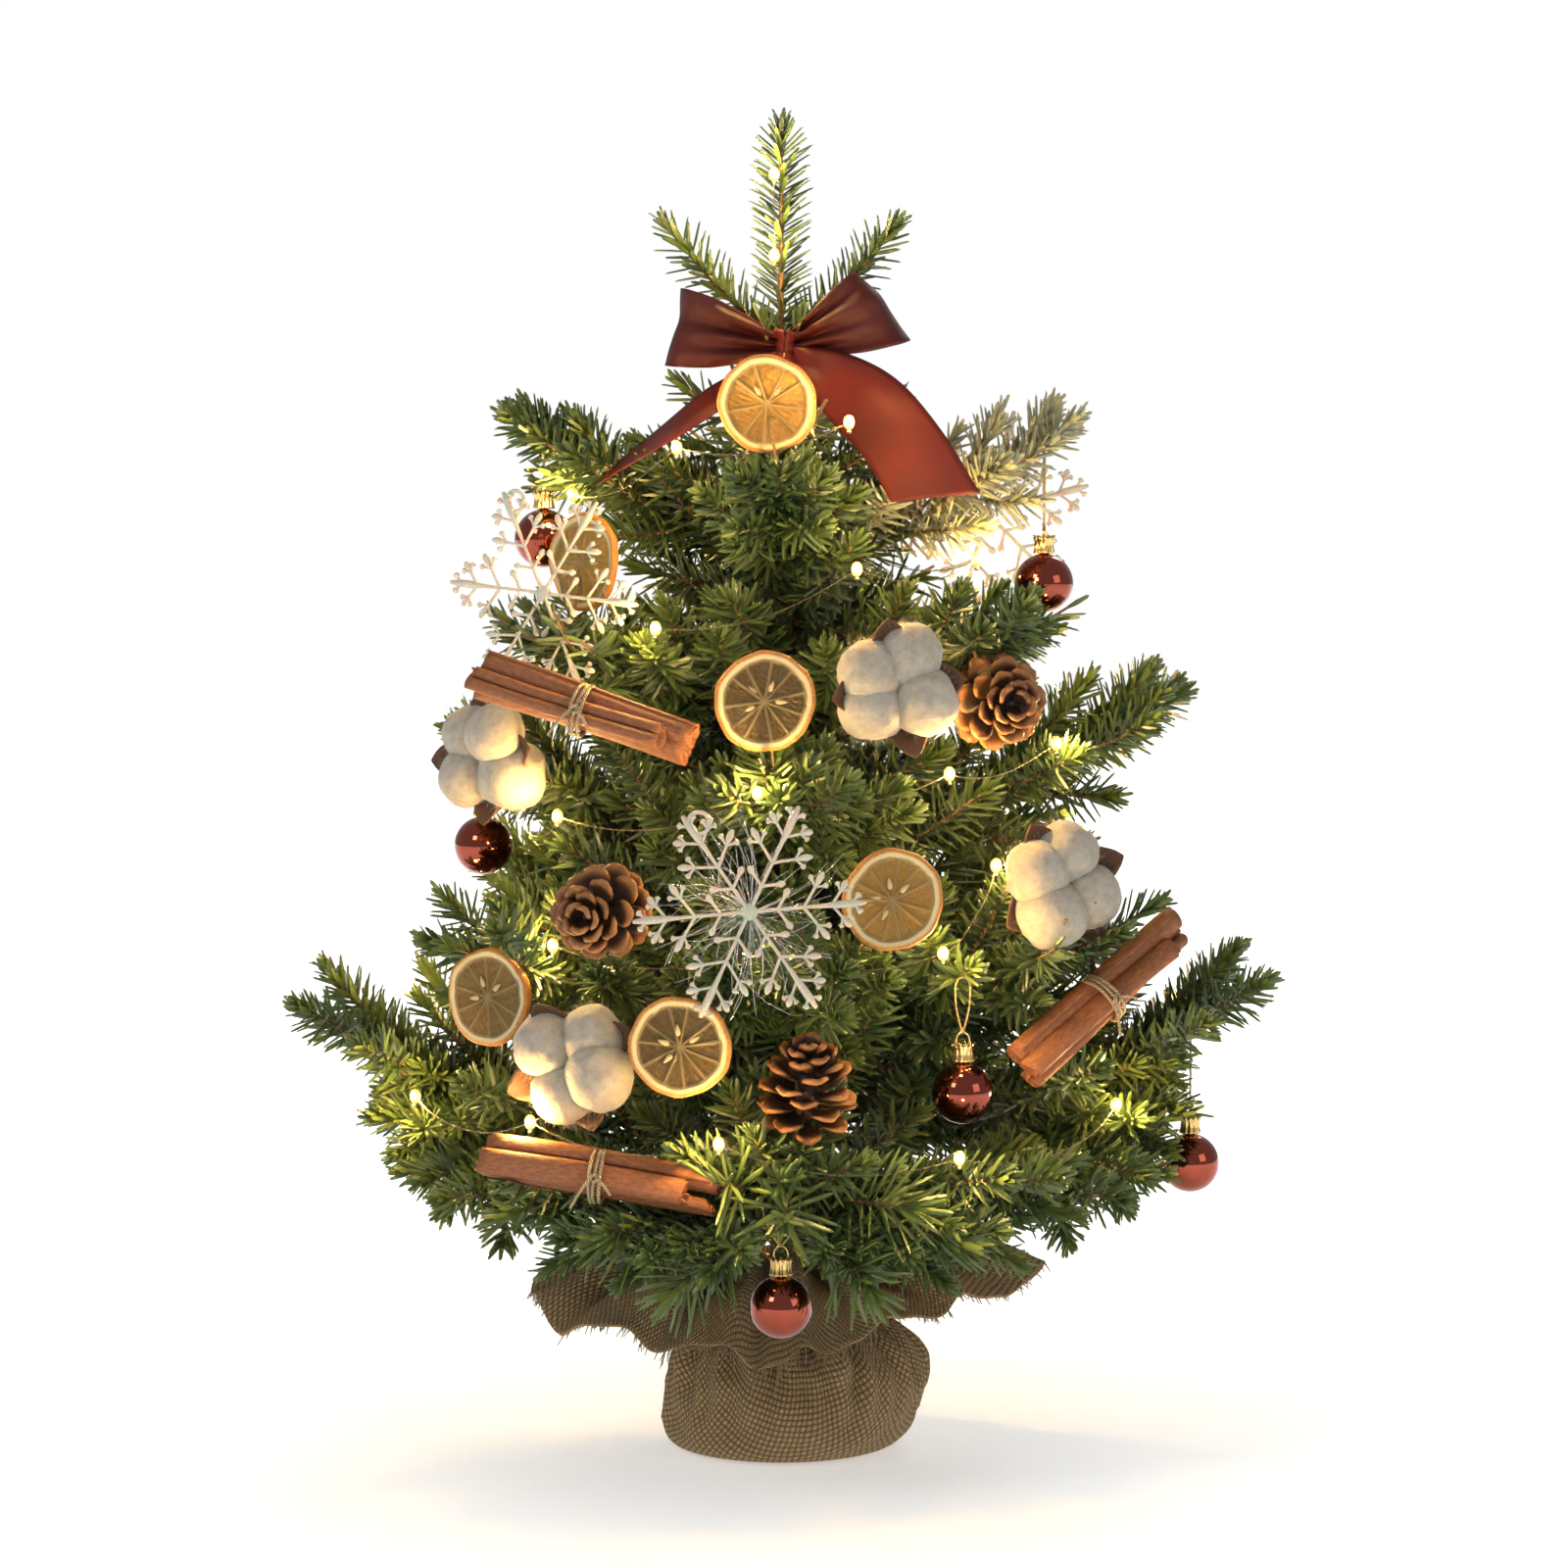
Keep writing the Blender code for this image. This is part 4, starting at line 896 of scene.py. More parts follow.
def pinecone(name, spec, seed):
    # Scales on a spiral round the core: each a spoon on its own spine, wide and thick near its rounded end,
    # leaning back at the stalk, out in the middle and towards the tip at the front.
    rng = np.random.default_rng(seed)
    turn = facing(spec[3], 0) @ turnX(-spec[4])
    center = place(*spec[:3])
    n = cone["scales"]
    i = np.arange(n)
    share = (i + 0.5) / n
    a = i * math.radians(goldenAngle) + rng.uniform(-0.10, 0.10, n)
    lean = np.radians(np.interp(share, (0, 0.25, 0.5, 0.75, 1), (112, 92, 74, 56, 34))
                      + rng.uniform(-6, 6, n))
    size = np.interp(share, (0, 0.2, 0.5, 0.8, 1),
                     (0.0125, 0.0165, 0.0165, 0.0130, 0.0085)) * rng.uniform(0.94, 1.05, n)
    stalk = cone["length"] * (0.84 * share - 0.44)
    root = np.interp(share, (0, 0.5, 1), (0.0035, 0.0045, 0.0012))
    ahead = np.array([0, -1.0, 0])
    outward = np.stack([np.cos(a), 0 * a, np.sin(a)], -1)
    sideways = np.cross(ahead, outward)
    c, d = np.cos(lean)[:, None], np.sin(lean)[:, None]
    along, face = c * ahead + d * outward, d * ahead - c * outward
    u, v = np.meshgrid(np.linspace(0, 1, 9), np.linspace(-1, 1, 7), indexing="ij")
    wide = 0.0015 + 0.0046 * blendStep(u, 0.05, 0.62)
    wide = wide * np.sqrt(np.clip(1 - ((u - 0.60) / 0.42).clip(0, 1) ** 2.4, 0.04, 1))
    big = (size / 0.0165)[:, None, None] ** 0.7
    rise = (0.16 * u**2 - 0.10 * u**4) * size[:, None, None] + 0.0016 * v**2 * blendStep(u, 0.2, 0.8)
    foot = ahead * stalk[:, None] + outward * root[:, None]
    grid = foot[:, None, None] + along[:, None, None] * (u * size[:, None, None])[..., None]
    grid = grid + face[:, None, None] * rise[..., None]
    grid = grid + sideways[:, None, None] * (wide * v * big)[..., None]
    thick = 0.0008 + 0.0018 * blendStep(u, 0.45, 0.86) * (1 - 0.55 * v**2) - 0.0009 * blendStep(u, 0.9, 1.0)
    # edge: dark at each scale's root, pale towards its rounded end; the darkness at the roots is painted
    # shade, the pale ends are the scales' own colour
    edge = np.clip(blendStep(u, 0.50, 0.98) + 0.25 * blendStep(u, 0.3, 0.7) * v**2, 0, 1)
    tone = np.broadcast_to(edge, (n, *edge.shape)) * rng.uniform(0.8, 1.1, (n, 1, 1))
    part = Part()
    shell(part, grid @ turn.T + center, thick[None], tones=np.stack([tone, 0 * tone, 0 * tone], -1))
    core = lathe([(0.0015, -0.44 * cone["length"]), (0.0042, -0.3 * cone["length"]), (0.0052, 0.0),
                  (0.0040, 0.25 * cone["length"]), (0.0010, 0.42 * cone["length"])], 14)
    core = core[..., [0, 2, 1]] * np.array([1, -1, 1])
    closedGrid(part, core @ turn.T + center)
    part.make(name + "_scales", coneLook, heldBy[name] + "_arm", [name])
    keepClear(part)


flake = {"radius": 0.049, "arm": 0.00086,
         "twigs": ((0.24, 0.20, 58), (0.46, 0.34, 56), (0.70, 0.24, 54), (0.87, 0.11, 48)),
         "tinsel": {"snowflake_front": 90}}  # twigs: start along the arm, length, angle


def snowflake(name, spec, seed):
    # Six arms with pairs of forked twigs; every rod ends in a drop-shaped knob.
    turn, center = facing(spec[3], spec[4]) @ turnY(-115), place(*spec[:3])
    big, thin = flake["radius"], flake["arm"]
    t = np.linspace(0, 1, 10)
    swell = np.array([1.0, 0.95, 0.9, 0.85, 0.85, 0.9, 1.2, 1.95, 2.0, 1.0])
    lines, sizes = [], []

    def rod(start, end, width):
        lines.append(start + (end - start) * t[:, None])
        sizes.append(width * swell)

    for arm in range(6):
        spin = turnY(60 * arm)

        def spot(x, z, spin=spin):
            return spin @ np.array([x, 0, z])
        rod(spot(0, 0), spot(big * 0.985, 0), thin)
        for start, length, angle in flake["twigs"]:
            for side in (-1, 1):
                c, s = math.cos(math.radians(angle)), side * math.sin(math.radians(angle))
                foot, tip = (start * big, 0), ((start + length * c) * big, length * s * big)
                rod(spot(*foot), spot(*tip), thin * 0.85)
                if length > 0.2:
                    for fork in (-1, 1):
                        at = 0.58
                        mid = (foot[0] + (tip[0] - foot[0]) * at, foot[1] + (tip[1] - foot[1]) * at)
                        turned = math.atan2(s, c) + fork * math.radians(52)
                        reach = (0.11 if length > 0.3 else 0.085) * big
                        end = (mid[0] + reach * math.cos(turned), mid[1] + reach * math.sin(turned))
                        rod(spot(*mid), spot(*end), thin * 0.75)
    part = Part()
    tubes(part, np.array(lines) @ turn.T + center, np.array(sizes), 8,
          normal=(turn @ np.array([0, 1.0, 0]))[None, None])
    hub = ballGrid((0, 0, 0), (0.0036, 0.0012, 0.0036), 8, 18)
    closedGrid(part, hub @ turn.T + center)
    a = math.tau * np.arange(24) / 24
    ring = np.stack([0.86 * big + 0.0045 * np.cos(a), 0 * a, -0.004 + 0.0045 * np.sin(a)], -1)
    tubes(part, ring @ turn.T + center, 0.0009, 8, closed=True,
          normal=(turn @ np.array([0, 1.0, 0]))[None, None])
    part.make(name + "_star", flakeLook, heldBy[name] + "_arm", [name])
    keepClear(part)
    tinsel = flake["tinsel"].get(name, 0)
    if tinsel:  # fine shining threads behind the star
        rng = np.random.default_rng(seed)
        a = rng.uniform(0, math.tau, tinsel)
        reach = rng.uniform(0.4, 0.95, tinsel) * big
        t = np.linspace(0, 1, 7)[None, :]
        curl = rng.normal(size=(tinsel, 1)) * 0.5
        angle = a[:, None] + curl * t
        depth = 0.003 + 0.006 * t * rng.uniform(-0.6, 1, (tinsel, 1))
        path = np.stack([reach[:, None] * t * np.cos(angle), depth, reach[:, None] * t * np.sin(angle)], -1)
        threads = Part()
        tubes(threads, path @ turn.T + center, 0.00011, 3)
        threads.make(name + "_tinsel", tinselLook, heldBy[name] + "_arm")


bauble = {"radius": 0.0132, "cap": 0.0045, "threadHalf": 0.0034, "wideHalf": 0.0085}


def hangLine(name):  # the branch or side shoot over which a ball's loop hangs
    branch, shoot, side = balls[name][:3]
    return (lambda t: branchLine(branch, t)) if shoot == 0 else sideLine(branch, *shoots[shoot - 1], side)


def hangingBall(name):
    # A turned glass ball with its crown cap and ring, hung by a twisted loop from its shoot.
    line, drop = hangLine(name), balls[name][4]
    at = line(balls[name][3])
    ahead = line(1.0) - line(0.0)
    turn = turnZ(math.degrees(math.atan2(ahead[1], ahead[0])))
    body, big = name + "_drop", bauble["radius"]
    skin = Part()
    a = np.linspace(0, math.pi, 50)[1:-1]
    neck = 0.0009 * np.exp(-((math.pi - a) / 0.16) ** 2)
    closedGrid(skin, at + lathe(np.stack([big * np.sin(a), -drop - big * np.cos(a) + neck - 0.0001], -1), 64))
    skin.make(name + "_glass", mirrorLook, body, [name])
    foot = big - drop
    number = int(name[-1])
    # crown cap: a ribbed cup whose rim is cut into prongs, with a domed top
    crown = Part()
    rows = np.array([(1.05, -0.0004), (1.0, 0.0004), (0.92, 0.0020), (0.90, 0.0045), (1.02, 0.0060),
                     (1.10, 0.0076), (1.02, 0.0078),
                     (0.90, 0.0062), (0.80, 0.0052), (0.40, 0.0054), (0.08, 0.0055)])
    b = math.tau * np.arange(72) / 72
    ribs = 1 + 0.07 * np.cos(12 * b)[None] * np.array([1, 1, 1, 1, 0.8, 0.5, 0.3, 0.2, 0, 0, 0])[:, None]
    teeth = np.array([0, 0, 0, 0, 0.3, 1, 1, 0.3, 0, 0, 0])[:, None]
    prong = (0.0017 * (0.5 - 0.5 * np.cos(12 * b)))[None] * teeth
    r = rows[:, :1] * bauble["cap"] * ribs
    cup = np.stack([r * np.cos(b), r * np.sin(b), foot + 0.0006 + rows[:, 1:] - prong + 0 * b], -1)
    closedGrid(crown, at + cup @ turn.T)
    b = math.tau * np.arange(28) / 28
    ring = np.stack([0 * b, 0.0030 * np.cos(b), foot + 0.0093 + 0.0034 * np.sin(b)], -1)
    tubes(crown, at + ring @ turn.T, 0.0005, 8, closed=True,
          normal=(turn @ np.array([1.0, 0, 0]))[None, None])
    crown.make(name.replace("ball", "hanger") + "_crown", goldLook, body, ["hanger_%d" % number])
    # two twisted threads in a loop from the ring over the branch wire
    top, low = bauble["threadHalf"], foot + 0.0122
    w = bauble["wideHalf"] if name == "ball_6" else top
    knots = np.array([(0, low), (0.45 * w, low + 0.005), (0.9 * w, 0.45 * low), (w, 0.0),
                      (0.6 * w, 0.85 * top), (0, top),
                      (-0.6 * w, 0.85 * top), (-w, 0.0), (-0.9 * w, 0.45 * low),
                      (-0.45 * w, low + 0.005), (0, low)])
    s = np.linspace(0, 10, 121)
    y = np.interp(s, np.arange(11), knots[:, 0])
    z = np.interp(s, np.arange(11), knots[:, 1])
    kernel = np.ones(7) / 7
    y = np.concatenate([y[:3], np.convolve(y, kernel, "valid"), y[-3:]])
    z = np.concatenate([z[:3], np.convolve(z, kernel, "valid"), z[-3:]])
    thread = Part()
    for phase in (0, math.pi):
        twist = s * 9.0 + phase
        path = np.stack([0.00030 * np.cos(twist), y + 0.00030 * np.sin(twist) * 0.7, z], -1)
        tubes(thread, at + path @ turn.T, 0.00030, 6, normal=(turn @ np.array([1.0, 0, 0]))[None, None])
    knot = ballGrid((0, 0, 0), (0.0009, 0.0011, 0.0010), 8, 10)
    closedGrid(thread, at + (knot + np.array([0, 0, low + 0.0008])) @ turn.T)
    thread.make(name.replace("ball", "hanger") + "_thread", threadLook, body, ["hanger_%d" % number])
    for part in (skin, crown, thread):
        keepClear(part)


ribbon = {"width": 0.036, "thickness": 0.00045, "knot": (0.002, -0.0165, 0.496),
          "inKnot": 0.035, "band": 0.0135}  # length of ribbon in the knot and width of the band round it


def strip(part, spine, edge, rows=40, cols=11, cup=0.0, folds=(), shade=0.0):
    # A ribbon: a smooth curve through the spine points, swept by a cross line that cups and pleats; shade is
    # painted shade over the whole strip.
    spine, edge = np.asarray(spine, float), np.asarray(edge, float)
    s = np.linspace(0, len(spine) - 1, rows)
    center, across = throughRows(spine, s), throughRows(edge, s)
    along = unit(np.gradient(center, axis=0))
    normal = unit(np.cross(across, along))
    v = np.linspace(-0.5, 0.5, cols)
    u = np.linspace(0, 1, rows)[:, None]
    lift = cup * (v**2 * 4 - 1)[None] + 0 * u
    for height, count, phase, where in folds:
        lift = lift + height * np.cos(math.tau * count * v + phase)[None] * np.exp(-((u - where) / 0.22) ** 2)
    grid = center[:, None] + v[None, :, None] * across[:, None] + lift[..., None] * normal[:, None]
    length = np.linalg.norm(np.diff(center, axis=0), axis=-1).sum()
    shell(part, grid, ribbon["thickness"],
          uv=lambda c: np.stack([c[..., 0] * length, c[..., 1] * ribbon["width"]], -1),
          tones=np.full((1, rows, cols, 3), shade))
    return length


def bowPiece():
    # Two loops and two tails swept along their spines, and a pinched band round their middle.
    k = np.array(ribbon["knot"])
    part, w = Part(), ribbon["width"]
    total = 0.0
    for far, end in (((-0.0500, 0, 0.0085), (0.008, 0, 0.034)), ((0.0430, 0, 0.0177), (-0.024, 0, 0.031))):
        # loop: out from the knot in front, round its slanting far fold, back behind
        far, end = np.array(far), np.array(end)
        share = np.array([0.06, 0.28, 0.62, 0.90, 1.0, 0.90, 0.62, 0.28, 0.06])[:, None]
        bulge = np.array([0.0, -0.0055, -0.0100, -0.0080, 0.0010, 0.0075, 0.0080, 0.0045, 0.0015])
        path = k + far * share + np.stack([0 * bulge, bulge, 0 * bulge], -1)
        gather = np.array([0.24, 0.50, 0.84, 0.98, 1.0, 0.98, 0.84, 0.50, 0.22])[:, None]
        upright = np.array([0, 0, w])
        edges = (end * share + upright * (1 - share)) * gather
        # both loops get tone 0.75: painted shade over the loops
        total += strip(part, path, edges, 72, 27, 0.0016,
                       ((0.0030, 3.0, 0.5, 0.06), (0.0026, 3.0, 1.2, 0.95), (0.0011, 1.5, 2.0, 0.3)), 0.75)
    # tails: the left one narrow and turned edge on, the right one wide and slanting to its cut end
    left = k + np.array([(-0.002, -0.004, -0.004), (-0.018, -0.013, -0.016), (-0.040, -0.018, -0.029),
                         (-0.060, -0.021, -0.043), (-0.081, -0.024, -0.0585)])
    edges = [(0.002, 0.002, 0.008), (0.009, 0.014, 0.016), (0.012, 0.022, 0.021), (0.010, 0.029, 0.015),
             (0.004, 0.032, 0.006)]
    total += strip(part, left, edges, 46, 11, 0.0012, ((0.0012, 1.5, 0.4, 0.1),))
    right = k + np.array([(0.003, -0.004, -0.003), (0.018, -0.015, -0.012), (0.036, -0.021, -0.026),
                          (0.052, -0.024, -0.044), (0.066, -0.025, -0.067)])
    edges = [(0.004, 0, 0.008), (0.016, 0.002, 0.018), (0.026, 0.001, 0.022), (0.034, 0.002, 0.012),
             (0.039, 0.004, 0.004)]
    folds = ((0.0016, 1.5, 0.8, 0.08), (0.0010, 1.0, 2.2, 0.5))
    total += strip(part, right, edges, 50, 13, 0.0018, folds)
    # knot: a pinched band wound over the middle
    a = np.linspace(0, math.tau * 0.97, 40)
    path = np.stack([0.0045 * np.sin(a) * 0.9, -0.0015 - 0.0060 * np.cos(a), 0 * a], -1) @ turnY(12).T
    band = k + path
    across = np.stack([0 * a + 0.001, 0 * a, 0 * a + ribbon["band"]], -1)
    v = np.linspace(-0.5, 0.5, 11)
    normal = unit(path + 1e-6)
    pleat = 0.0008 * np.cos(3 * math.tau * v)[None] + 0.0022 * (2 * v[None]) ** 2
    lift = pleat[..., None] * normal[:, None] * np.array([1, 1, 0.2])
    grid = band[:, None] + v[None, :, None] * across[:, None] + lift
    shell(part, grid, ribbon["thickness"],
          uv=lambda c: np.stack([c[..., 0] * ribbon["inKnot"], c[..., 1] * ribbon["band"]], -1))
    obj = part.make("bow_ribbon", satinLook, trunk, ["bow"])
    keepClear(part)
    total += ribbon["inKnot"]
    return total


cloth = {"bagRadius": 0.0575, "bagHeight": 0.072, "neck": 0.0128, "thickness": 0.0012,
         "flat": 0.32, "pleats": 18,
         "looseYarns": 420, "yarnLength": (0.0012, 0.0040)}


def burlapWrap():
    # One cloth from the middle of the floor outwards: rows go up the bag, in at the neck, out to the corners.
    cols, big, high, neck = 380, cloth["bagRadius"], cloth["bagHeight"], cloth["neck"]
    a = math.tau * np.arange(cols) / cols
    outline = np.array([  # degrees, reach and height of the collar's edge
        (0, 0.124, 0.081), (13, 0.101, 0.072), (32, 0.078, 0.077), (60, 0.070, 0.074), (90, 0.098, 0.072),
        (120, 0.074, 0.077),
        (150, 0.100, 0.071), (178, 0.114, 0.071), (200, 0.110, 0.064), (222, 0.096, 0.061),
        (243, 0.075, 0.056), (262, 0.068, 0.050),
        (280, 0.067, 0.050), (297, 0.070, 0.060), (315, 0.078, 0.067), (335, 0.088, 0.071),
        (348, 0.103, 0.073), (360, 0.124, 0.081)])
    soft = np.exp(-(np.arange(-14, 15) / 6.0) ** 2)
    soft = soft / soft.sum()
    rounds = [np.tile(np.interp(np.degrees(a), outline[:, 0], outline[:, k]), 3) for k in (1, 2)]
    out, edgeHigh = (np.convolve(around, soft, "same")[cols:2 * cols] for around in rounds)
    radius = np.stack(np.broadcast_arrays(
        0.001, 0.40 * big, 0.76 * big, 0.94 * big, big, 0.93 * big, 0.66 * big,
        neck + 0.007, neck, neck, neck + 0.012, 0.52 * out, 0.80 * out, out))
    wave = 0.003 * np.cos(5 * a + 0.6)
    height = np.stack(np.broadcast_arrays(
        0.0006, 0.0006, 0.0006, 0.0065, 0.025, 0.045, 0.060, high - 0.005, high, high + 0.006, high + 0.010,
        high + 0.011 + wave, 0.5 * (high + 0.012 + wave + edgeHigh) + 0.004, edgeHigh))
    s = np.concatenate([np.linspace(0, 4, 22)[:-1], np.linspace(4, 9, 40)[:-1], np.linspace(9, 13, 46)])
    r, z = throughRows(radius, s), throughRows(height, s)
    row = s[:, None]
    # pleats gather towards the neck and fade down the bag and out along the collar
    gather = np.exp(-((row - 8.3) / 1.9) ** 2)
    phase = cloth["pleats"] * a + 0.9 * np.sin(2 * a + 1) + 0.35 * np.sin(5 * a)
    sharp = np.sin(phase) + 0.25 * np.sin(2 * phase + 0.6)
    r = r + gather * (0.0034 * sharp[None] + 0.0008) * blendStep(row, 5.2, 7.2)
    r = r + 0.0024 * np.exp(-((row - 6.0) / 1.2) ** 2) * sharp[None]
    r = r + 0.0013 * np.exp(-((row - 4.6) / 0.9) ** 2) * np.sin(1.5 * phase + 2 * np.sin(a))[None]
    z = z + 0.0011 * gather * np.cos(phase * 0.5)[None] * blendStep(row, 9.0, 9.6)
    # slack of the bag: broad lumps, creases that run up to the neck, a soft sag over the floor
    x, y = np.cos(a)[None], np.sin(a)[None]
    where = np.stack([x * big + 0 * row, y * big + 0 * row, z * 1.5], -1)
    lumps = 0.0030 * waves(where, 0.060, 5) + 0.0016 * waves(where, 0.026,
            6) + 0.0006 * waves(where, 0.011, 7)
    r = r + lumps * blendStep(row, 2.6, 3.6) * (1 - blendStep(row, 6.6, 7.6))
    crease = np.zeros_like(r)
    for at, drift, depth in ((3.5, 0.5, 0.0042), (4.35, -0.35, 0.0036), (5.05, 0.4, 0.0045),
                             (5.7, -0.5, 0.0034),
                             (2.2, 0.3, 0.004), (0.7, -0.4, 0.004), (1.5, 0.3, 0.003)):
        line = at + drift * (row - 5.0) * 0.22
        gapTo = (a[None] - line + math.pi) % math.tau - math.pi
        crease = crease + depth * np.exp(-(gapTo / 0.085) ** 2) - 0.6 * depth * np.exp(-((gapTo
                - 0.17) / 0.10) ** 2)
    r = r + crease * np.exp(-((row - 5.6) / 1.3) ** 2)
    # collar: droops in front and at the left, a rolled point at the right, wavy all round
    collar = blendStep(row, 9.8, 13.0)
    front = np.exp(-(((a[None] - 4.55 + math.pi) % math.tau - math.pi) / 0.42) ** 2)
    ripple = np.sin(13 * a + 1.3 + 0.8 * np.sin(2 * a)) + 0.35 * np.sin(26 * a + 0.4)
    z = z + blendStep(row, 9.4, 11.2) * 0.0052 * ripple[None] * (1 - 0.35 * blendStep(row, 11.5, 13))
    z = z + 0.0016 * collar * waves(np.stack([x * r, y * r, 0 * r], -1), 0.030, 9)
    r = r + collar * (0.0016 * np.sin(11 * a + 0.5) + 0.0012 * np.sin(19 * a))[None]
    shift = 0.008 * np.sin(math.pi * np.clip(z / high, 0, 1)) * (row < 8)
    z = np.maximum(z, 0.0006)
    grid = np.stack([r * x + shift, r * y, z], -1)
    # the weave's coordinates: radial distance along the cloth turned back to a flat square's x and y
    step = np.linalg.norm(np.diff(grid, axis=0), axis=-1).mean(1)
    walk = np.concatenate([[0], np.cumsum(step)])

    def flat(corners):
        i = np.rint(corners[..., 0] * (len(s) - 1)).astype(int)
        j = np.rint(corners[..., 1] * cols).astype(int)
        ang = math.tau * j / cols
        return np.stack([walk[i] * np.cos(ang), walk[i] * np.sin(ang)], -1)
    across = np.roll(grid, -1, 1)[:-1] - grid[:-1]
    span = np.linalg.norm(np.cross(np.diff(grid, axis=0), across), axis=-1).sum()
    print("cloth area", round(span, 4), "of", round(cloth["flat"] ** 2, 4), "walk", round(walk[-1], 3))
    part = Part()
    shell(part, grid[:, ::-1], cloth["thickness"], wrap=True,
          uv=lambda c: flat(np.stack([c[..., 0], 1 - c[..., 1]], -1)))
    # loose yarns along the cut edge
    rng = np.random.default_rng(31)
    edge = grid[-1]
    outward = unit(grid[-1] - grid[-3])
    count = cloth["looseYarns"]
    pick = rng.integers(0, cols, count)
    length = rng.uniform(*cloth["yarnLength"], (count, 1)) * (1 + 1.2 * front[0, pick][:, None])
    t = np.linspace(0, 1, 5)[None, :, None]
    sag = np.array([0, 0, -1.0]) * length[:, None] * 0.55 * t**2
    side = rng.normal(size=(count, 3)) * 0.25
    path = edge[pick][:, None] - outward[pick][:, None] * 0.0015
    path = path + outward[pick][:, None] * length[:, None] * t
    path = path + side[:, None] * length[:, None] * t**2 + sag
    fringe = Part()
    tubes(fringe, path, np.linspace(0.00042, 0.00022, 5)[None], 5)
    return part, fringe


def neckTwine():
    # Two turns of jute round the neck and a small knot with loose ends.
    part = Part()
    radius, height = cloth["neck"] + 0.0044, cloth["bagHeight"] + 0.003
    a = np.linspace(0, 2 * math.tau, 140)
    coil = np.stack([radius * np.cos(a), radius * np.sin(a),
                     height - 0.0011 + 0.0022 * a / (2 * math.tau) + 0.0003 * np.sin(7 * a)], -1)
    tubes(part, coil, 0.00115, 8, normal=np.array([[[0, 0, 1.0]]]))
    t = np.linspace(0, 1, 16)
    at = place(285, radius + 0.0012, height)
    for way in (-1, 1):
        end = at + np.stack([way * 0.011 * t, -0.004 * np.sin(2.5 * t) - 0.001,
                             -0.004 * t * t + 0.003 * t], -1)
        tubes(part, end, 0.0009, 8)
    closedGrid(part, at + ballGrid((0, 0, 0), (0.0026, 0.0022, 0.0023), 10, 14))
    return part


# Foliage

needle = {"length": 0.0162, "width": 0.0023, "thick": 0.0009, "perMetre": 1540}
lowSprays = {  # where the drooping side shoots of the lowest branches end
    "branch_1_left": ((-0.176, -0.030, 0.166), (-0.168, -0.062, 0.142), (-0.146, -0.088, 0.120),
                      (-0.120, -0.116, 0.110),
                      (-0.165, 0.035, 0.150), (-0.140, 0.075, 0.132), (-0.160, -0.030, 0.126)),
    "branch_1_right": ((0.176, -0.030, 0.168), (0.170, -0.064, 0.144), (0.148, -0.090, 0.122),
                       (0.122, -0.118, 0.112),
                       (0.165, 0.035, 0.150), (0.140, 0.075, 0.132), (0.162, -0.030, 0.128)),
    "branch_1_front": ((-0.098, -0.142, 0.104), (-0.066, -0.160, 0.101), (-0.030, -0.178, 0.108),
                       (0.034, -0.176, 0.105),
                       (0.068, -0.160, 0.101), (0.100, -0.140, 0.106), (-0.120, -0.128, 0.124),
                       (0.124, -0.126, 0.124)),
    "branch_1_back": ((0.110, 0.135, 0.136), (-0.110, 0.135, 0.136), (0.060, 0.165, 0.134),
                      (-0.060, 0.165, 0.134), (0.0, 0.17, 0.122)),
}
tufts = ((0.002, -0.184, 0.130), (-0.028, -0.180, 0.146), (0.037, -0.176, 0.100), (-0.045, -0.174, 0.100),
         (-0.075, -0.162, 0.120),
         (0.075, -0.162, 0.118), (0.055, -0.176, 0.135))


def shootSet(name, rng):
    # All the shoots of a branch as lines of 9 points: the main one, its side shoots, and short ones
    # above and below.
    azimuth, _, reach, rise, spread = branches[name]
    t = np.linspace(0, 1, 9)
    lines = [branchLine(name, 0.10 + 0.90 * t)]
    for start, angle, length in shoots:
        for side in (-1, 1):
            line = sideLine(name, start, angle, length, side)(t)
            lines.append(line + upward * (0.006 * t**2)[:, None])
    extra = []
    for spot in lowSprays.get(name, ()):
        spot = np.array(spot)
        share = np.linalg.norm(spot[:2]) / reach * 0.62 + rng.uniform(-0.06, 0.02)
        root = branchLine(name, np.clip(share, 0.15, 0.8))
        far = np.linalg.norm(spot - root)
        extra.append(root + (spot - root) * t[:, None] + upward * (0.22 * far * t * (1 - t))[:, None])
        for start, side in ((0.35, -1), (0.42, 1), (0.66, -1),
                            (0.72, 1)):  # its own twigs, flat to both sides
            turned = turnZ(side * 38) @ (spot - root)
            foot = root + (spot - root) * start + upward * 0.22 * far * start * (1 - start)
            extra.append(foot + turned * ((0.78 - 0.6 * start) * t)[:, None]
                         + upward * (0.12 * far * t)[:, None])
    for start, angle, length, climb in ((0.16, 62, 0.36, 0.30), (0.26, 30, 0.34, 0.75),
                                        (0.46, 56, 0.34, 0.05), (0.50, 24, 0.30, 0.70),
                                        (0.76, 40, 0.24, 0.15), (0.72, 18, 0.22, 0.55),
                                        (0.30, 36, 0.36, -0.42), (0.55, 30, 0.28, -0.34)):
        for side in (-1, 1):
            if rng.uniform() < 0.14:
                continue
            turned = azimuth + side * (angle + rng.uniform(-7, 7)) * (0.6 + 0.4 * spread)
            ahead = unit(place(turned, 1.0, climb + 0.6 * rise / reach + rng.uniform(-0.1, 0.1)))
            size = length * reach * rng.uniform(0.85, 1.15) + 0.008
            root = branchLine(name, start + rng.uniform(-0.03, 0.03))
            extra.append(root + ahead * (size * t)[:, None] + upward * (0.10 * size * t**2)[:, None])
    return np.array(lines + extra)


def sampled(lines, which, t):  # points and directions of the lines at shares t
    x = t * (lines.shape[1] - 1)
    k = np.clip(x.astype(int), 0, lines.shape[1] - 2)
    f = (x - k)[:, None]
    a, b = lines[which, k], lines[which, k + 1]
    before = lines[which, np.maximum(k - 1, 0)]
    return a + (b - a) * f, unit(b - before)


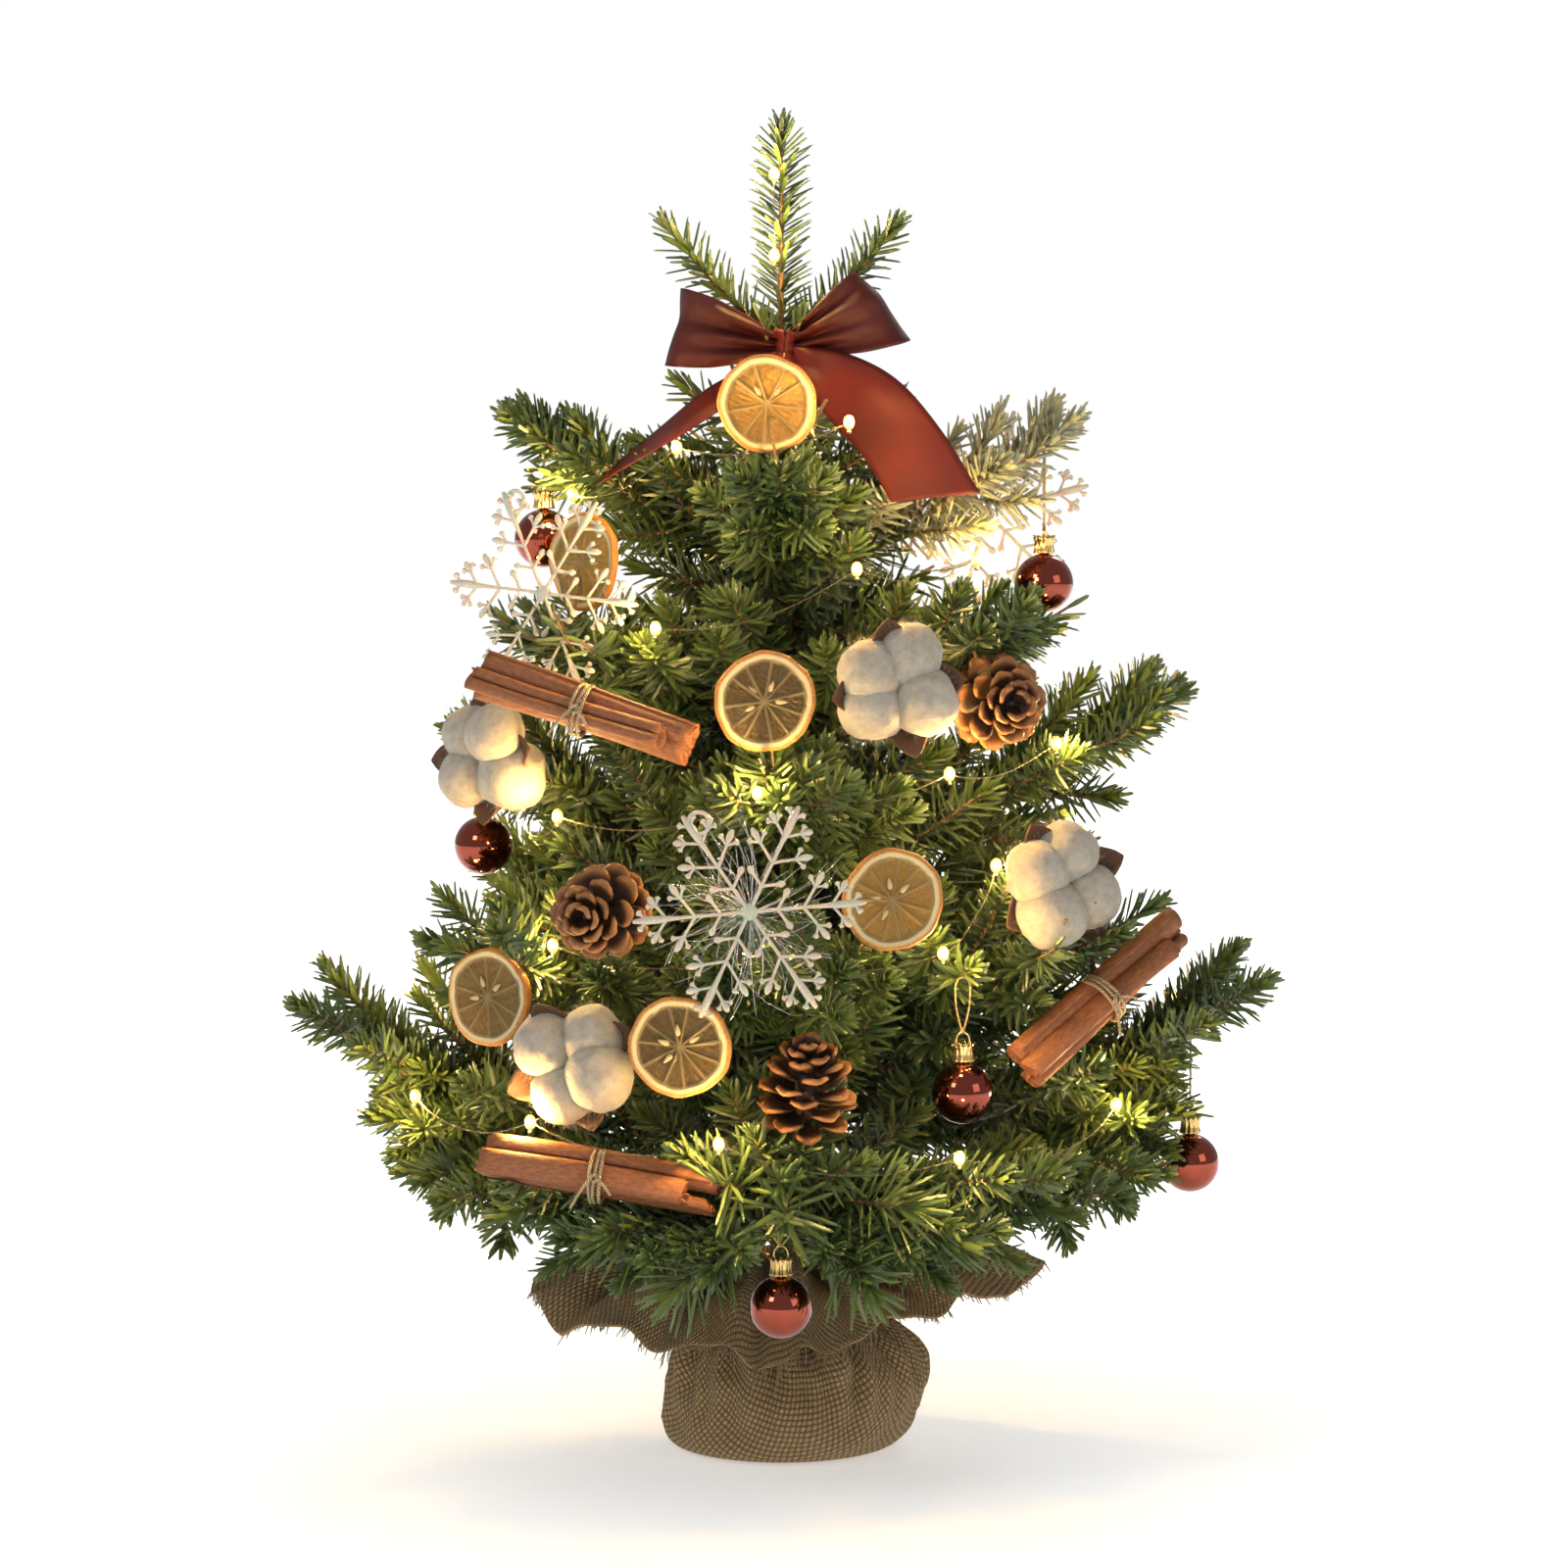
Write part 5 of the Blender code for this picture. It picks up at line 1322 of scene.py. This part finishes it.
def growNeedles(part, lines, rng, length=1.0, density=1.0, flatten=0.72, tint=0.0, pale=0.0):
    # Needles on a spiral round each shoot: short and steep at the tip, long and open lower down,
    # and combed to the sides.
    sizes = np.linalg.norm(np.diff(lines, axis=1), axis=-1).sum(1)
    counts = np.maximum((sizes * needle["perMetre"] * density).astype(int), 24)
    which = np.repeat(np.arange(len(lines)), counts)
    order = np.arange(len(which)) - np.repeat(np.cumsum(counts) - counts, counts)
    t = (order + rng.uniform(0, 1, len(which))) / counts[which]
    t = np.clip(t**0.96, 0, 0.995)
    root, along = sampled(lines, which, t)
    level = np.where(np.abs(along[:, 2:]) > 0.93, np.array([0, 1.0, 0]), upward)
    side = unit(np.cross(along, level))
    over = np.cross(side, along)
    a = order * math.radians(goldenAngle) + rng.uniform(-0.25, 0.25, len(t)) + which * 1.7
    out = unit(np.cos(a)[:, None] * side + (flatten * np.sin(a) + 0.12)[:, None] * over)
    fromTip = (1 - t) * sizes[which]
    lean = np.radians(24 + 36 * blendStep(fromTip, 0.0, 0.020) + rng.uniform(-6, 6, len(t)))
    ahead = unit(np.cos(lean)[:, None] * along + np.sin(lean)[:, None] * out)
    size = needle["length"] * length * (0.62
                                        + 0.38 * blendStep(fromTip, 0.0,
                                                0.016)) * rng.uniform(0.90, 1.08, len(t))
    tips = root + ahead * size[:, None]
    keep = ~hidden(root + ahead * (0.5 * size)[:, None], rng) & ~hidden(tips, rng) & ~inside(root, tips)
    grown = (root, along, out, ahead, size, which, t, fromTip)
    root, along, out, ahead, size, which, t, fromTip = (x[keep] for x in grown)
    across = unit(np.cross(along, out))
    face = np.cross(ahead, across)
    bend = rng.uniform(-0.02, 0.09, len(t)) * size
    shares = np.array([0.0, 0.45, 0.90])
    width = np.array([0.6, 1.0, 0.74]) * needle["width"] * 0.5
    rise = np.array([0.55, 1.0, 0.7]) * needle["thick"]
    spine = root[:, None] + ahead[:, None] * (size[:, None] * shares)[..., None]
    spine = spine + along[:, None] * (bend[:, None] * shares**2)[..., None]
    rows = np.stack([spine + across[:, None] * width[:, None], spine + face[:, None] * rise[:, None],
                     spine - across[:, None] * width[:, None]], 2)
    end = root + ahead * size[:, None] + along * bend[:, None]
    n = len(root)
    points = np.concatenate([rows.reshape(n, 9, 3), end[:, None]], 1)
    quads = np.array([[r * 3 + c, r * 3 + (c + 1) % 3, r * 3 + 3 + (c + 1) % 3, r * 3 + 3 + c]
                      for r in (0, 1) for c in range(3)])
    tris = np.array([[6, 7, 9], [7, 8, 9], [8, 6, 9], [0, 2, 1]])
    base = 10 * np.arange(n)[:, None, None]
    perShoot = rng.uniform(-0.14, 0.14, len(lines))[which]
    tone = np.clip(0.40 + tint + perShoot + rng.uniform(-0.20, 0.20, n)
                   + 0.30 * (1 - blendStep(fromTip, 0.0, 0.03)), 0, 1)
    # the third channel, pale, carries the painted highlight that the material mixes in
    shade = np.stack([np.repeat(tone[:, None], 10, 1),
                      np.broadcast_to(np.array([0, 0, 0, .45, .45, .45, .85, .85, .85, 1.0]), (n, 10)),
                      np.full((n, 10), pale)], -1)
    faces = [(quads + base).reshape(-1, 4), (tris + base).reshape(-1, 3)]
    part.add(points.reshape(-1, 3), faces, None, shade)
    return n


maskGrid = {"cell": 0.0030, "left": 0.33, "size": (220, 240)}


def maskIndex(points):  # the cell of each point, seen from the front
    wide, high = maskGrid["size"]
    ix = np.clip(((points[:, 0] + maskGrid["left"]) / maskGrid["cell"]).astype(int), 1, wide - 2)
    iz = np.clip((points[:, 2] / maskGrid["cell"]).astype(int), 1, high - 2)
    return ix, iz


def buildMask():
    # The ornaments seen from the front, as a grid of their nearest and farthest depth in each cell.
    points = np.concatenate(clearPoints)
    near, far = np.full(maskGrid["size"], 9.0), np.full(maskGrid["size"], -9.0)
    ix, iz = maskIndex(points)
    np.minimum.at(near, (ix, iz), points[:, 1])
    np.maximum.at(far, (ix, iz), points[:, 1])
    return near, far


def hidden(points, rng):  # true where a needle would cover an ornament or stand inside it
    near, far = mask
    ix, iz = maskIndex(points)
    y = points[:, 1]
    cover = (y < far[ix, iz] + 0.001) & (y > near[ix, iz] - 0.060) & (near[ix, iz] < 5)
    return cover & (rng.uniform(0, 1, len(y)) < 0.94)


def inside(root, tips):  # true in the battery box's place
    low, high = boxLow - 0.002, boxHigh + 0.002
    middle = (root + tips) / 2
    inBox = np.zeros(len(root), bool)
    for p in (root, middle, tips):
        inBox |= np.all((p > low) & (p < high), -1)
    return inBox


def stems(part, lines, foot, tip):  # round wires along the lines, thinner towards their tips
    tubes(part, lines, np.linspace(foot, tip, lines.shape[1])[None], 7)


def twigLines(name):
    # Short twigs from the nearest shoot to each ornament that the branch carries.
    found = []
    held = {**slices, **bundles, **bolls, **cones, **flakes}
    routes = [lambda t: branchLine(name, 0.2 + 0.8 * t)] + [sideLine(name, *s, side) for s in shoots
            for side in (-1, 1)]
    spots = np.concatenate([r(np.arange(9) * 0.1) for r in routes])
    for key, spec in held.items():
        if heldBy[key] == name:
            center = place(*spec[:3])
            root = spots[np.argmin(np.linalg.norm(spots - center, axis=-1))]
            found.append(root + (center - root) * np.linspace(0, 0.86, 9)[:, None])
    return found


foliageTint = {"branch_1_left": 0.10, "branch_1_right": 0.06, "branch_1_front": 0.08, "branch_5_right": 0.2,
               "branch_5_left": 0.05}


def branchPieces(name, seed):
    # The needles and the wood of one branch, on its shoots and on the twigs that hold its ornaments.
    rng = np.random.default_rng(seed)
    lines = shootSet(name, rng)
    twigs = twigLines(name)
    leaves, wood = Part(), Part()
    # branch_5_right's needles get pale 0.55: a painted highlight over that branch
    count = growNeedles(leaves, lines, rng, tint=foliageTint.get(name, 0.0),
                        pale=0.55 if name == "branch_5_right" else 0.0)
    if name == "branch_1_front":  # open bursts of long needles low in front
        ends = np.array(tufts)
        roots = branchLine(name, np.full(len(ends), 0.74)) * 0.55 + ends * 0.45
        short = roots[:, None] + (ends - roots)[:, None] * np.linspace(0, 1, 9)[None, :, None]
        count += growNeedles(leaves, short, rng, 1.75, 0.85, 1.0, 0.25)
        stems(wood, short, 0.0010, 0.0006)
    if twigs:
        twigs = np.array(twigs)
        count += growNeedles(leaves, twigs, rng, 0.85, 1.3)
        stems(wood, twigs, 0.0008, 0.0006)
    wire = branchLine(name, np.linspace(0.0, 0.16, 9))
    stems(wood, wire[None], 0.0016, 0.0015)
    stems(wood, lines[:1], 0.0015, 0.0007)
    stems(wood, lines[1:], 0.0010, 0.0006)
    body = name + "_arm"
    leaves.make(name + "_needles", needleLook, body, [name], smooth=False)
    wood.make(name + "_stems", barkTwigLook, body, [name])
    return count


poleShoots = {"count": 104, "low": 0.118, "high": 0.462, "density": 0.80}


def topPieces():
    # The sprig on the end of the pole, then short shoots on a spiral round the pole.
    rng = np.random.default_rng(77)
    t = np.linspace(0, 1, 9)
    leader = np.stack([0 * t, 0 * t, 0.472 + 0.122 * t], -1)
    lines = [leader]
    for side in (-1, 1):
        lines.append(np.stack([side * (0.003 + 0.048 * t), -0.002 * t, 0.500 + 0.036 * t + 0.014 * t**2], -1))
    for azimuth in (70, 110, 250, 290, 0, 180):
        lines.append(np.array([0, 0, 0.478]) + place(azimuth, 0.026 * t, 0.030 * t))
    leaves, wood = Part(), Part()
    lines = np.array(lines)
    growNeedles(leaves, lines[:3], rng, 1.0, 1.0, 0.7, 0.16)
    growNeedles(leaves, lines[3:], rng, 0.86, 1.0, 0.85, 0.05)
    stems(wood, lines, 0.0016, 0.0007)
    leaves.make("top_sprig_needles", needleLook, trunk, ["top_sprig"], smooth=False)
    wood.make("top_sprig_stems", barkTwigLook, trunk, ["top_sprig"])
    # shoots straight off the pole between the branch tiers fill the dark middle; their needles' darker tint
    # is painted shade
    inner = []
    for i, z in enumerate(np.linspace(poleShoots["low"], poleShoots["high"], poleShoots["count"])):
        azimuth = i * goldenAngle + rng.uniform(-12, 12)
        widest = 0.026 + 0.62 * np.interp(z, (0.10, 0.20, 0.47), (0.165, 0.155, 0.030))
        size = widest * rng.uniform(0.65, 1.0)
        lift = rng.uniform(0.05, 0.45)
        inner.append(np.array([0, 0, z]) + place(azimuth, 0.006 + size * t, size * (lift * t + 0.15 * t**2)))
    bush, twig = Part(), Part()
    inner = np.array(inner)
    # tint -0.20 darkens these inner needles below the branches': painted shade in the tree's middle
    growNeedles(bush, inner, rng, 1.15, poleShoots["density"], 0.8, -0.20)
    stems(twig, inner, 0.0011, 0.0007)
    bush.make("pole_needles", needleLook, trunk, smooth=False)
    twig.make("pole_twigs", barkTwigLook, trunk)


# Light string

lampSize = {"radius": 0.0026, "wire": 0.00015, "light": 0.22, "color": (1.0, 0.62, 0.20),
            "soft": 0.004, "sag": 0.10}


def lampPoints():
    return place(*lamps.T)


def lampBodies():
    # Each lamp rides on the branch whose shoots pass nearest to it, or on the trunk.
    points = lampPoints()
    routes = {}
    for name in branches:
        r = [branchLine(name, np.linspace(0.05, 1, 20))] + [sideLine(name, *s, side)(np.linspace(0, 1, 12))
                for s in shoots for side in (-1, 1)]
        routes[name] = np.concatenate(r)
    owners = []
    for i, p in enumerate(points):
        reach = {name: np.linalg.norm(route - p, axis=-1).min() for name, route in routes.items()}
        best = min(reach, key=reach.get)
        owners.append(trunk if i < 3 or i >= len(points) - 1 else best + "_arm")
    return points, owners


def lightString():
    # Two twisted wires from lamp to lamp, sagging between them; a span between two branches is cut in two at
    # its middle, and a piece between two bodies is left on neither.
    points, owners = lampBodies()
    rng = np.random.default_rng(5)
    total = 0.0
    made = 0
    for i in range(len(points) - 1):
        a, b = points[i], points[i + 1]
        gapLength = np.linalg.norm(b - a)
        t = np.linspace(0, 1, 25)[:, None]
        sag = -upward * (lampSize["sag"] * gapLength) * 4 * t * (1 - t)
        side = unit(np.cross(b - a, upward)[None])[0] * rng.uniform(-0.04, 0.04) * gapLength
        line = a + (b - a) * t + sag + side * np.sin(math.pi * t) + side * 0.35 * np.sin(3 * math.pi * t)
        total += np.linalg.norm(np.diff(line, axis=0), axis=-1).sum()
        spans = [(line, owners[i], owners[i + 1])]
        if owners[i] != owners[i + 1] and trunk not in (owners[i], owners[i + 1]):
            spans = [(line[:13], owners[i], trunk), (line[12:], trunk, owners[i + 1])]
        for piece, first, second in spans:
            made += 1
            part = Part()
            twist = np.linspace(0, 26 * len(piece) / 25, 8 * len(piece))
            fine = np.stack([np.interp(np.linspace(0, 1, len(twist)), np.linspace(0, 1, len(piece)),
                                       piece[:, k]) for k in range(3)], -1)
            for phase in (0, math.pi):
                turnTo = twist * 3.0 + phase
                tubes(part, fine + 0.00020 * np.stack([np.cos(turnTo), np.sin(turnTo), np.sin(turnTo + 1)],
                                                      -1), lampSize["wire"], 4)
            obj = part.make("light_wire_%02d" % made, wireLook, None if first != second else first,
                            ["light_string"])
            if first != second:
                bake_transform(obj)
    for owner in dict.fromkeys(owners):
        glow, seat = Part(), Part()
        for p in points[[k for k, o in enumerate(owners) if o == owner]]:
            r = lampSize["radius"]
            a = np.linspace(0, math.pi, 12)[1:-1]
            heat = np.broadcast_to(np.sin(a)[:, None, None], (10, 14, 3))
            closedGrid(glow, p + lathe(np.stack([r * 0.92 * np.sin(a), -1.25 * r * np.cos(a)], -1), 14), heat)
            cup = lathe([(0.0005, -0.0010), (0.0010, -0.0006), (0.0011, 0.0004), (0.0005, 0.0009)], 10)
            closedGrid(seat, p - upward * 1.5 * r + cup)
        short = owner.replace("_arm", "").replace("branch_", "")
        glow.make("lamps_" + short, lampLook, owner, ["light_string"])
        seat.make("lamp_seats_" + short, wireLook, owner, ["light_string"])
    for i, (p, owner) in enumerate(zip(points, owners)):
        data = bpy.data.lights.new("lampGlow%02d" % i, "POINT")
        data.energy, data.color = lampSize["light"], lampSize["color"]
        data.shadow_soft_size = lampSize["soft"]
        light = bpy.data.objects.new("lampGlow%02d" % i, data)
        out = unit(p * np.array([1, 1, 0]))
        light.location = p + out * 0.006 + upward * 0.002
        bpy.context.scene.collection.objects.link(light)
        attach(light, owner)
    print("light string", round(total, 3), "m in", made, "spans")


# Studio

studioSet = {
    "dim": 0.37, "bright": 1.0,  # world strength for the object and for the empty backdrop
    "lights": {"keySoft": ((-1.3, -1.6, 1.5), 0.6, 11, (1.0, 0.96, 0.90)),  # place, size, watts, colour
               "fillSoft": ((1.6, -1.2, 0.9), 0.9, 4.5, (1.0, 0.97, 0.94)),
               "rimSoft": ((0.6, 1.8, 1.6), 0.8, 10, (1, 1, 1))},
    "lens": 112.24, "distance": 2.2, "aimHeight": 0.30, "sideways": 0.0013, "lookDown": 4.0,
}


def studio():
    # A pale floor that glows outwards, a white world, three soft lights and the camera.
    floorPart = Part()
    x, y = np.meshgrid(np.linspace(-6, 6, 3), np.linspace(-6, 6, 3), indexing="ij")
    shell(floorPart, np.stack([x, y, 0 * x - 0.0016], -1)[::-1], 0.002)
    pale = Nodes("paleFloor", Roughness=0.9)
    cloud = pale.noise(pale.coords(), 3.0, 2.0)
    pale.color(pale.ramp(cloud, [(0.3, (0.90, 0.90, 0.89)), (0.7, (0.93, 0.93, 0.92))]))
    away = pale.node("ShaderNodeVectorMath", [(0, pale.coords())], operation="LENGTH").outputs["Value"]
    glow = pale.ramp(pale.math("MULTIPLY", away, 0.5), [(0.04, (0.42, 0.42, 0.42)), (0.42, (1.0, 1.0, 1.0))])
    pale.put("Emission Color", glow)
    pale.shader.inputs["Emission Strength"].default_value = 1.0
    floorPart.make("floor", pale.material, None)
    world = bpy.data.worlds.new("studio")
    bpy.context.scene.world = world
    world.use_nodes = True
    sky = world.node_tree
    dim, bright = sky.nodes["Background"], sky.nodes.new("ShaderNodeBackground")
    dim.inputs["Color"].default_value, dim.inputs["Strength"].default_value = (1.0, 0.98, 0.95,
            1), studioSet["dim"]
    bright.inputs["Color"].default_value, bright.inputs["Strength"].default_value = (1, 1, 1,
            1), studioSet["bright"]
    path, both = sky.nodes.new("ShaderNodeLightPath"), sky.nodes.new("ShaderNodeMixShader")
    sky.links.new(path.outputs["Is Camera Ray"], both.inputs[0])
    sky.links.new(dim.outputs[0], both.inputs[1])
    sky.links.new(bright.outputs[0], both.inputs[2])
    sky.links.new(both.outputs[0], sky.nodes["World Output"].inputs["Surface"])
    for name, (where, size, energy, color) in studioSet["lights"].items():
        data = bpy.data.lights.new(name, "AREA")
        data.energy, data.size, data.color = energy, size, color
        light = bpy.data.objects.new(name, data)
        light.location = where
        aim = np.array([0, 0, 0.3]) - np.array(where)
        flat = math.hypot(aim[0], aim[1])
        light.rotation_euler = (math.atan2(flat, -aim[2]), 0, math.atan2(aim[1], aim[0]) - math.pi / 2)
        bpy.context.scene.collection.objects.link(light)
    camera = bpy.data.cameras.new("camera")
    camera.lens, camera.sensor_width = studioSet["lens"], 36.0
    eye = bpy.data.objects.new("camera", camera)
    lift, away = math.radians(studioSet["lookDown"]), studioSet["distance"]
    eye.location = (studioSet["sideways"], -away * math.cos(lift),
                    studioSet["aimHeight"] + away * math.sin(lift))
    eye.rotation_euler = (math.pi / 2 - lift, 0, 0)
    bpy.context.scene.collection.objects.link(eye)
    bpy.context.scene.camera = eye
    bpy.context.scene.view_settings.view_transform = "Standard"


# Build

needleLook = needleMaterial("needles", (0.012, 0.030, 0.010), (0.046, 0.088, 0.022), (0.150, 0.205, 0.052))
barkTwigLook, mirrorLook = barkMaterial(), mirrorMaterial()
goldLook, threadLook = goldMaterial(), threadMaterial()
fleshLook, rindLook = fruitMaterials()
barkLook = quillMaterial()
stringLook = twineMaterial("bundleTwine", (0.26, 0.19, 0.10), (0.60, 0.48, 0.30))
juteLook = twineMaterial("neckJute", (0.20, 0.14, 0.07), (0.52, 0.40, 0.24))
cottonLook, calyxLook = cottonMaterial(), calyxMaterial()
coneLook, flakeLook = scaleMaterial(), flakeMaterial()
tinselLook, satinLook, burlapLook = tinselMaterial(), satinMaterial(), burlapMaterial()
lampLook, wireLook = lampMaterial(), wireMaterial()
boxLook = plasticMaterial("boxPlastic", (0.018, 0.020, 0.019), 0.45)
switchLook = plasticMaterial("switchPlastic", (0.30, 0.30, 0.29), 0.5)
poleLook = plasticMaterial("poleTape", (0.045, 0.050, 0.022), 0.7, 300.0)
stoneLook = stoneMaterial()

for maker, specs, firstSeed in ((orangeSlice, slices, 10), (cinnamonBundle, bundles, 30),
                                (cottonBoll, bolls, 50),
                                (pinecone, cones, 70), (snowflake, flakes, 90)):
    for i, (name, spec) in enumerate(specs.items()):
        maker(name, spec, firstSeed + i)
for name in balls:
    hangingBall(name)
ribbonLength = bowPiece()
print("ornaments done, ribbon", round(ribbonLength, 3), "m")

clothPart, fringePart = burlapWrap()
clothPiece = clothPart.make("burlap_cloth", burlapLook, trunk, ["burlap_wrap"])
fringePiece = fringePart.make("burlap_fringe", juteLook, trunk)
neckTwine().make("neck_twine", juteLook, trunk, ["neck_tie"])
print("cloth done")

for node, look in (("pole", poleLook), ("base_weight", stoneLook), ("battery_box", boxLook),
                   ("battery_cover", boxLook),
                   ("power_switch", switchLook)):
    obj = frame["nodes"][node]
    obj.data.materials.clear()
    obj.data.materials.append(look)

boxLow, boxHigh = (np.array(v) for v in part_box("battery_box"))
lampSpots = lampPoints()
clearPoints.append(lampSpots[lampSpots[:, 1] < 0.02])
mask = buildMask()
needles = 0
for i, name in enumerate(branches):
    needles += branchPieces(name, 200 + i)
topPieces()
print("foliage done,", needles, "needles")
lightString()
studio()
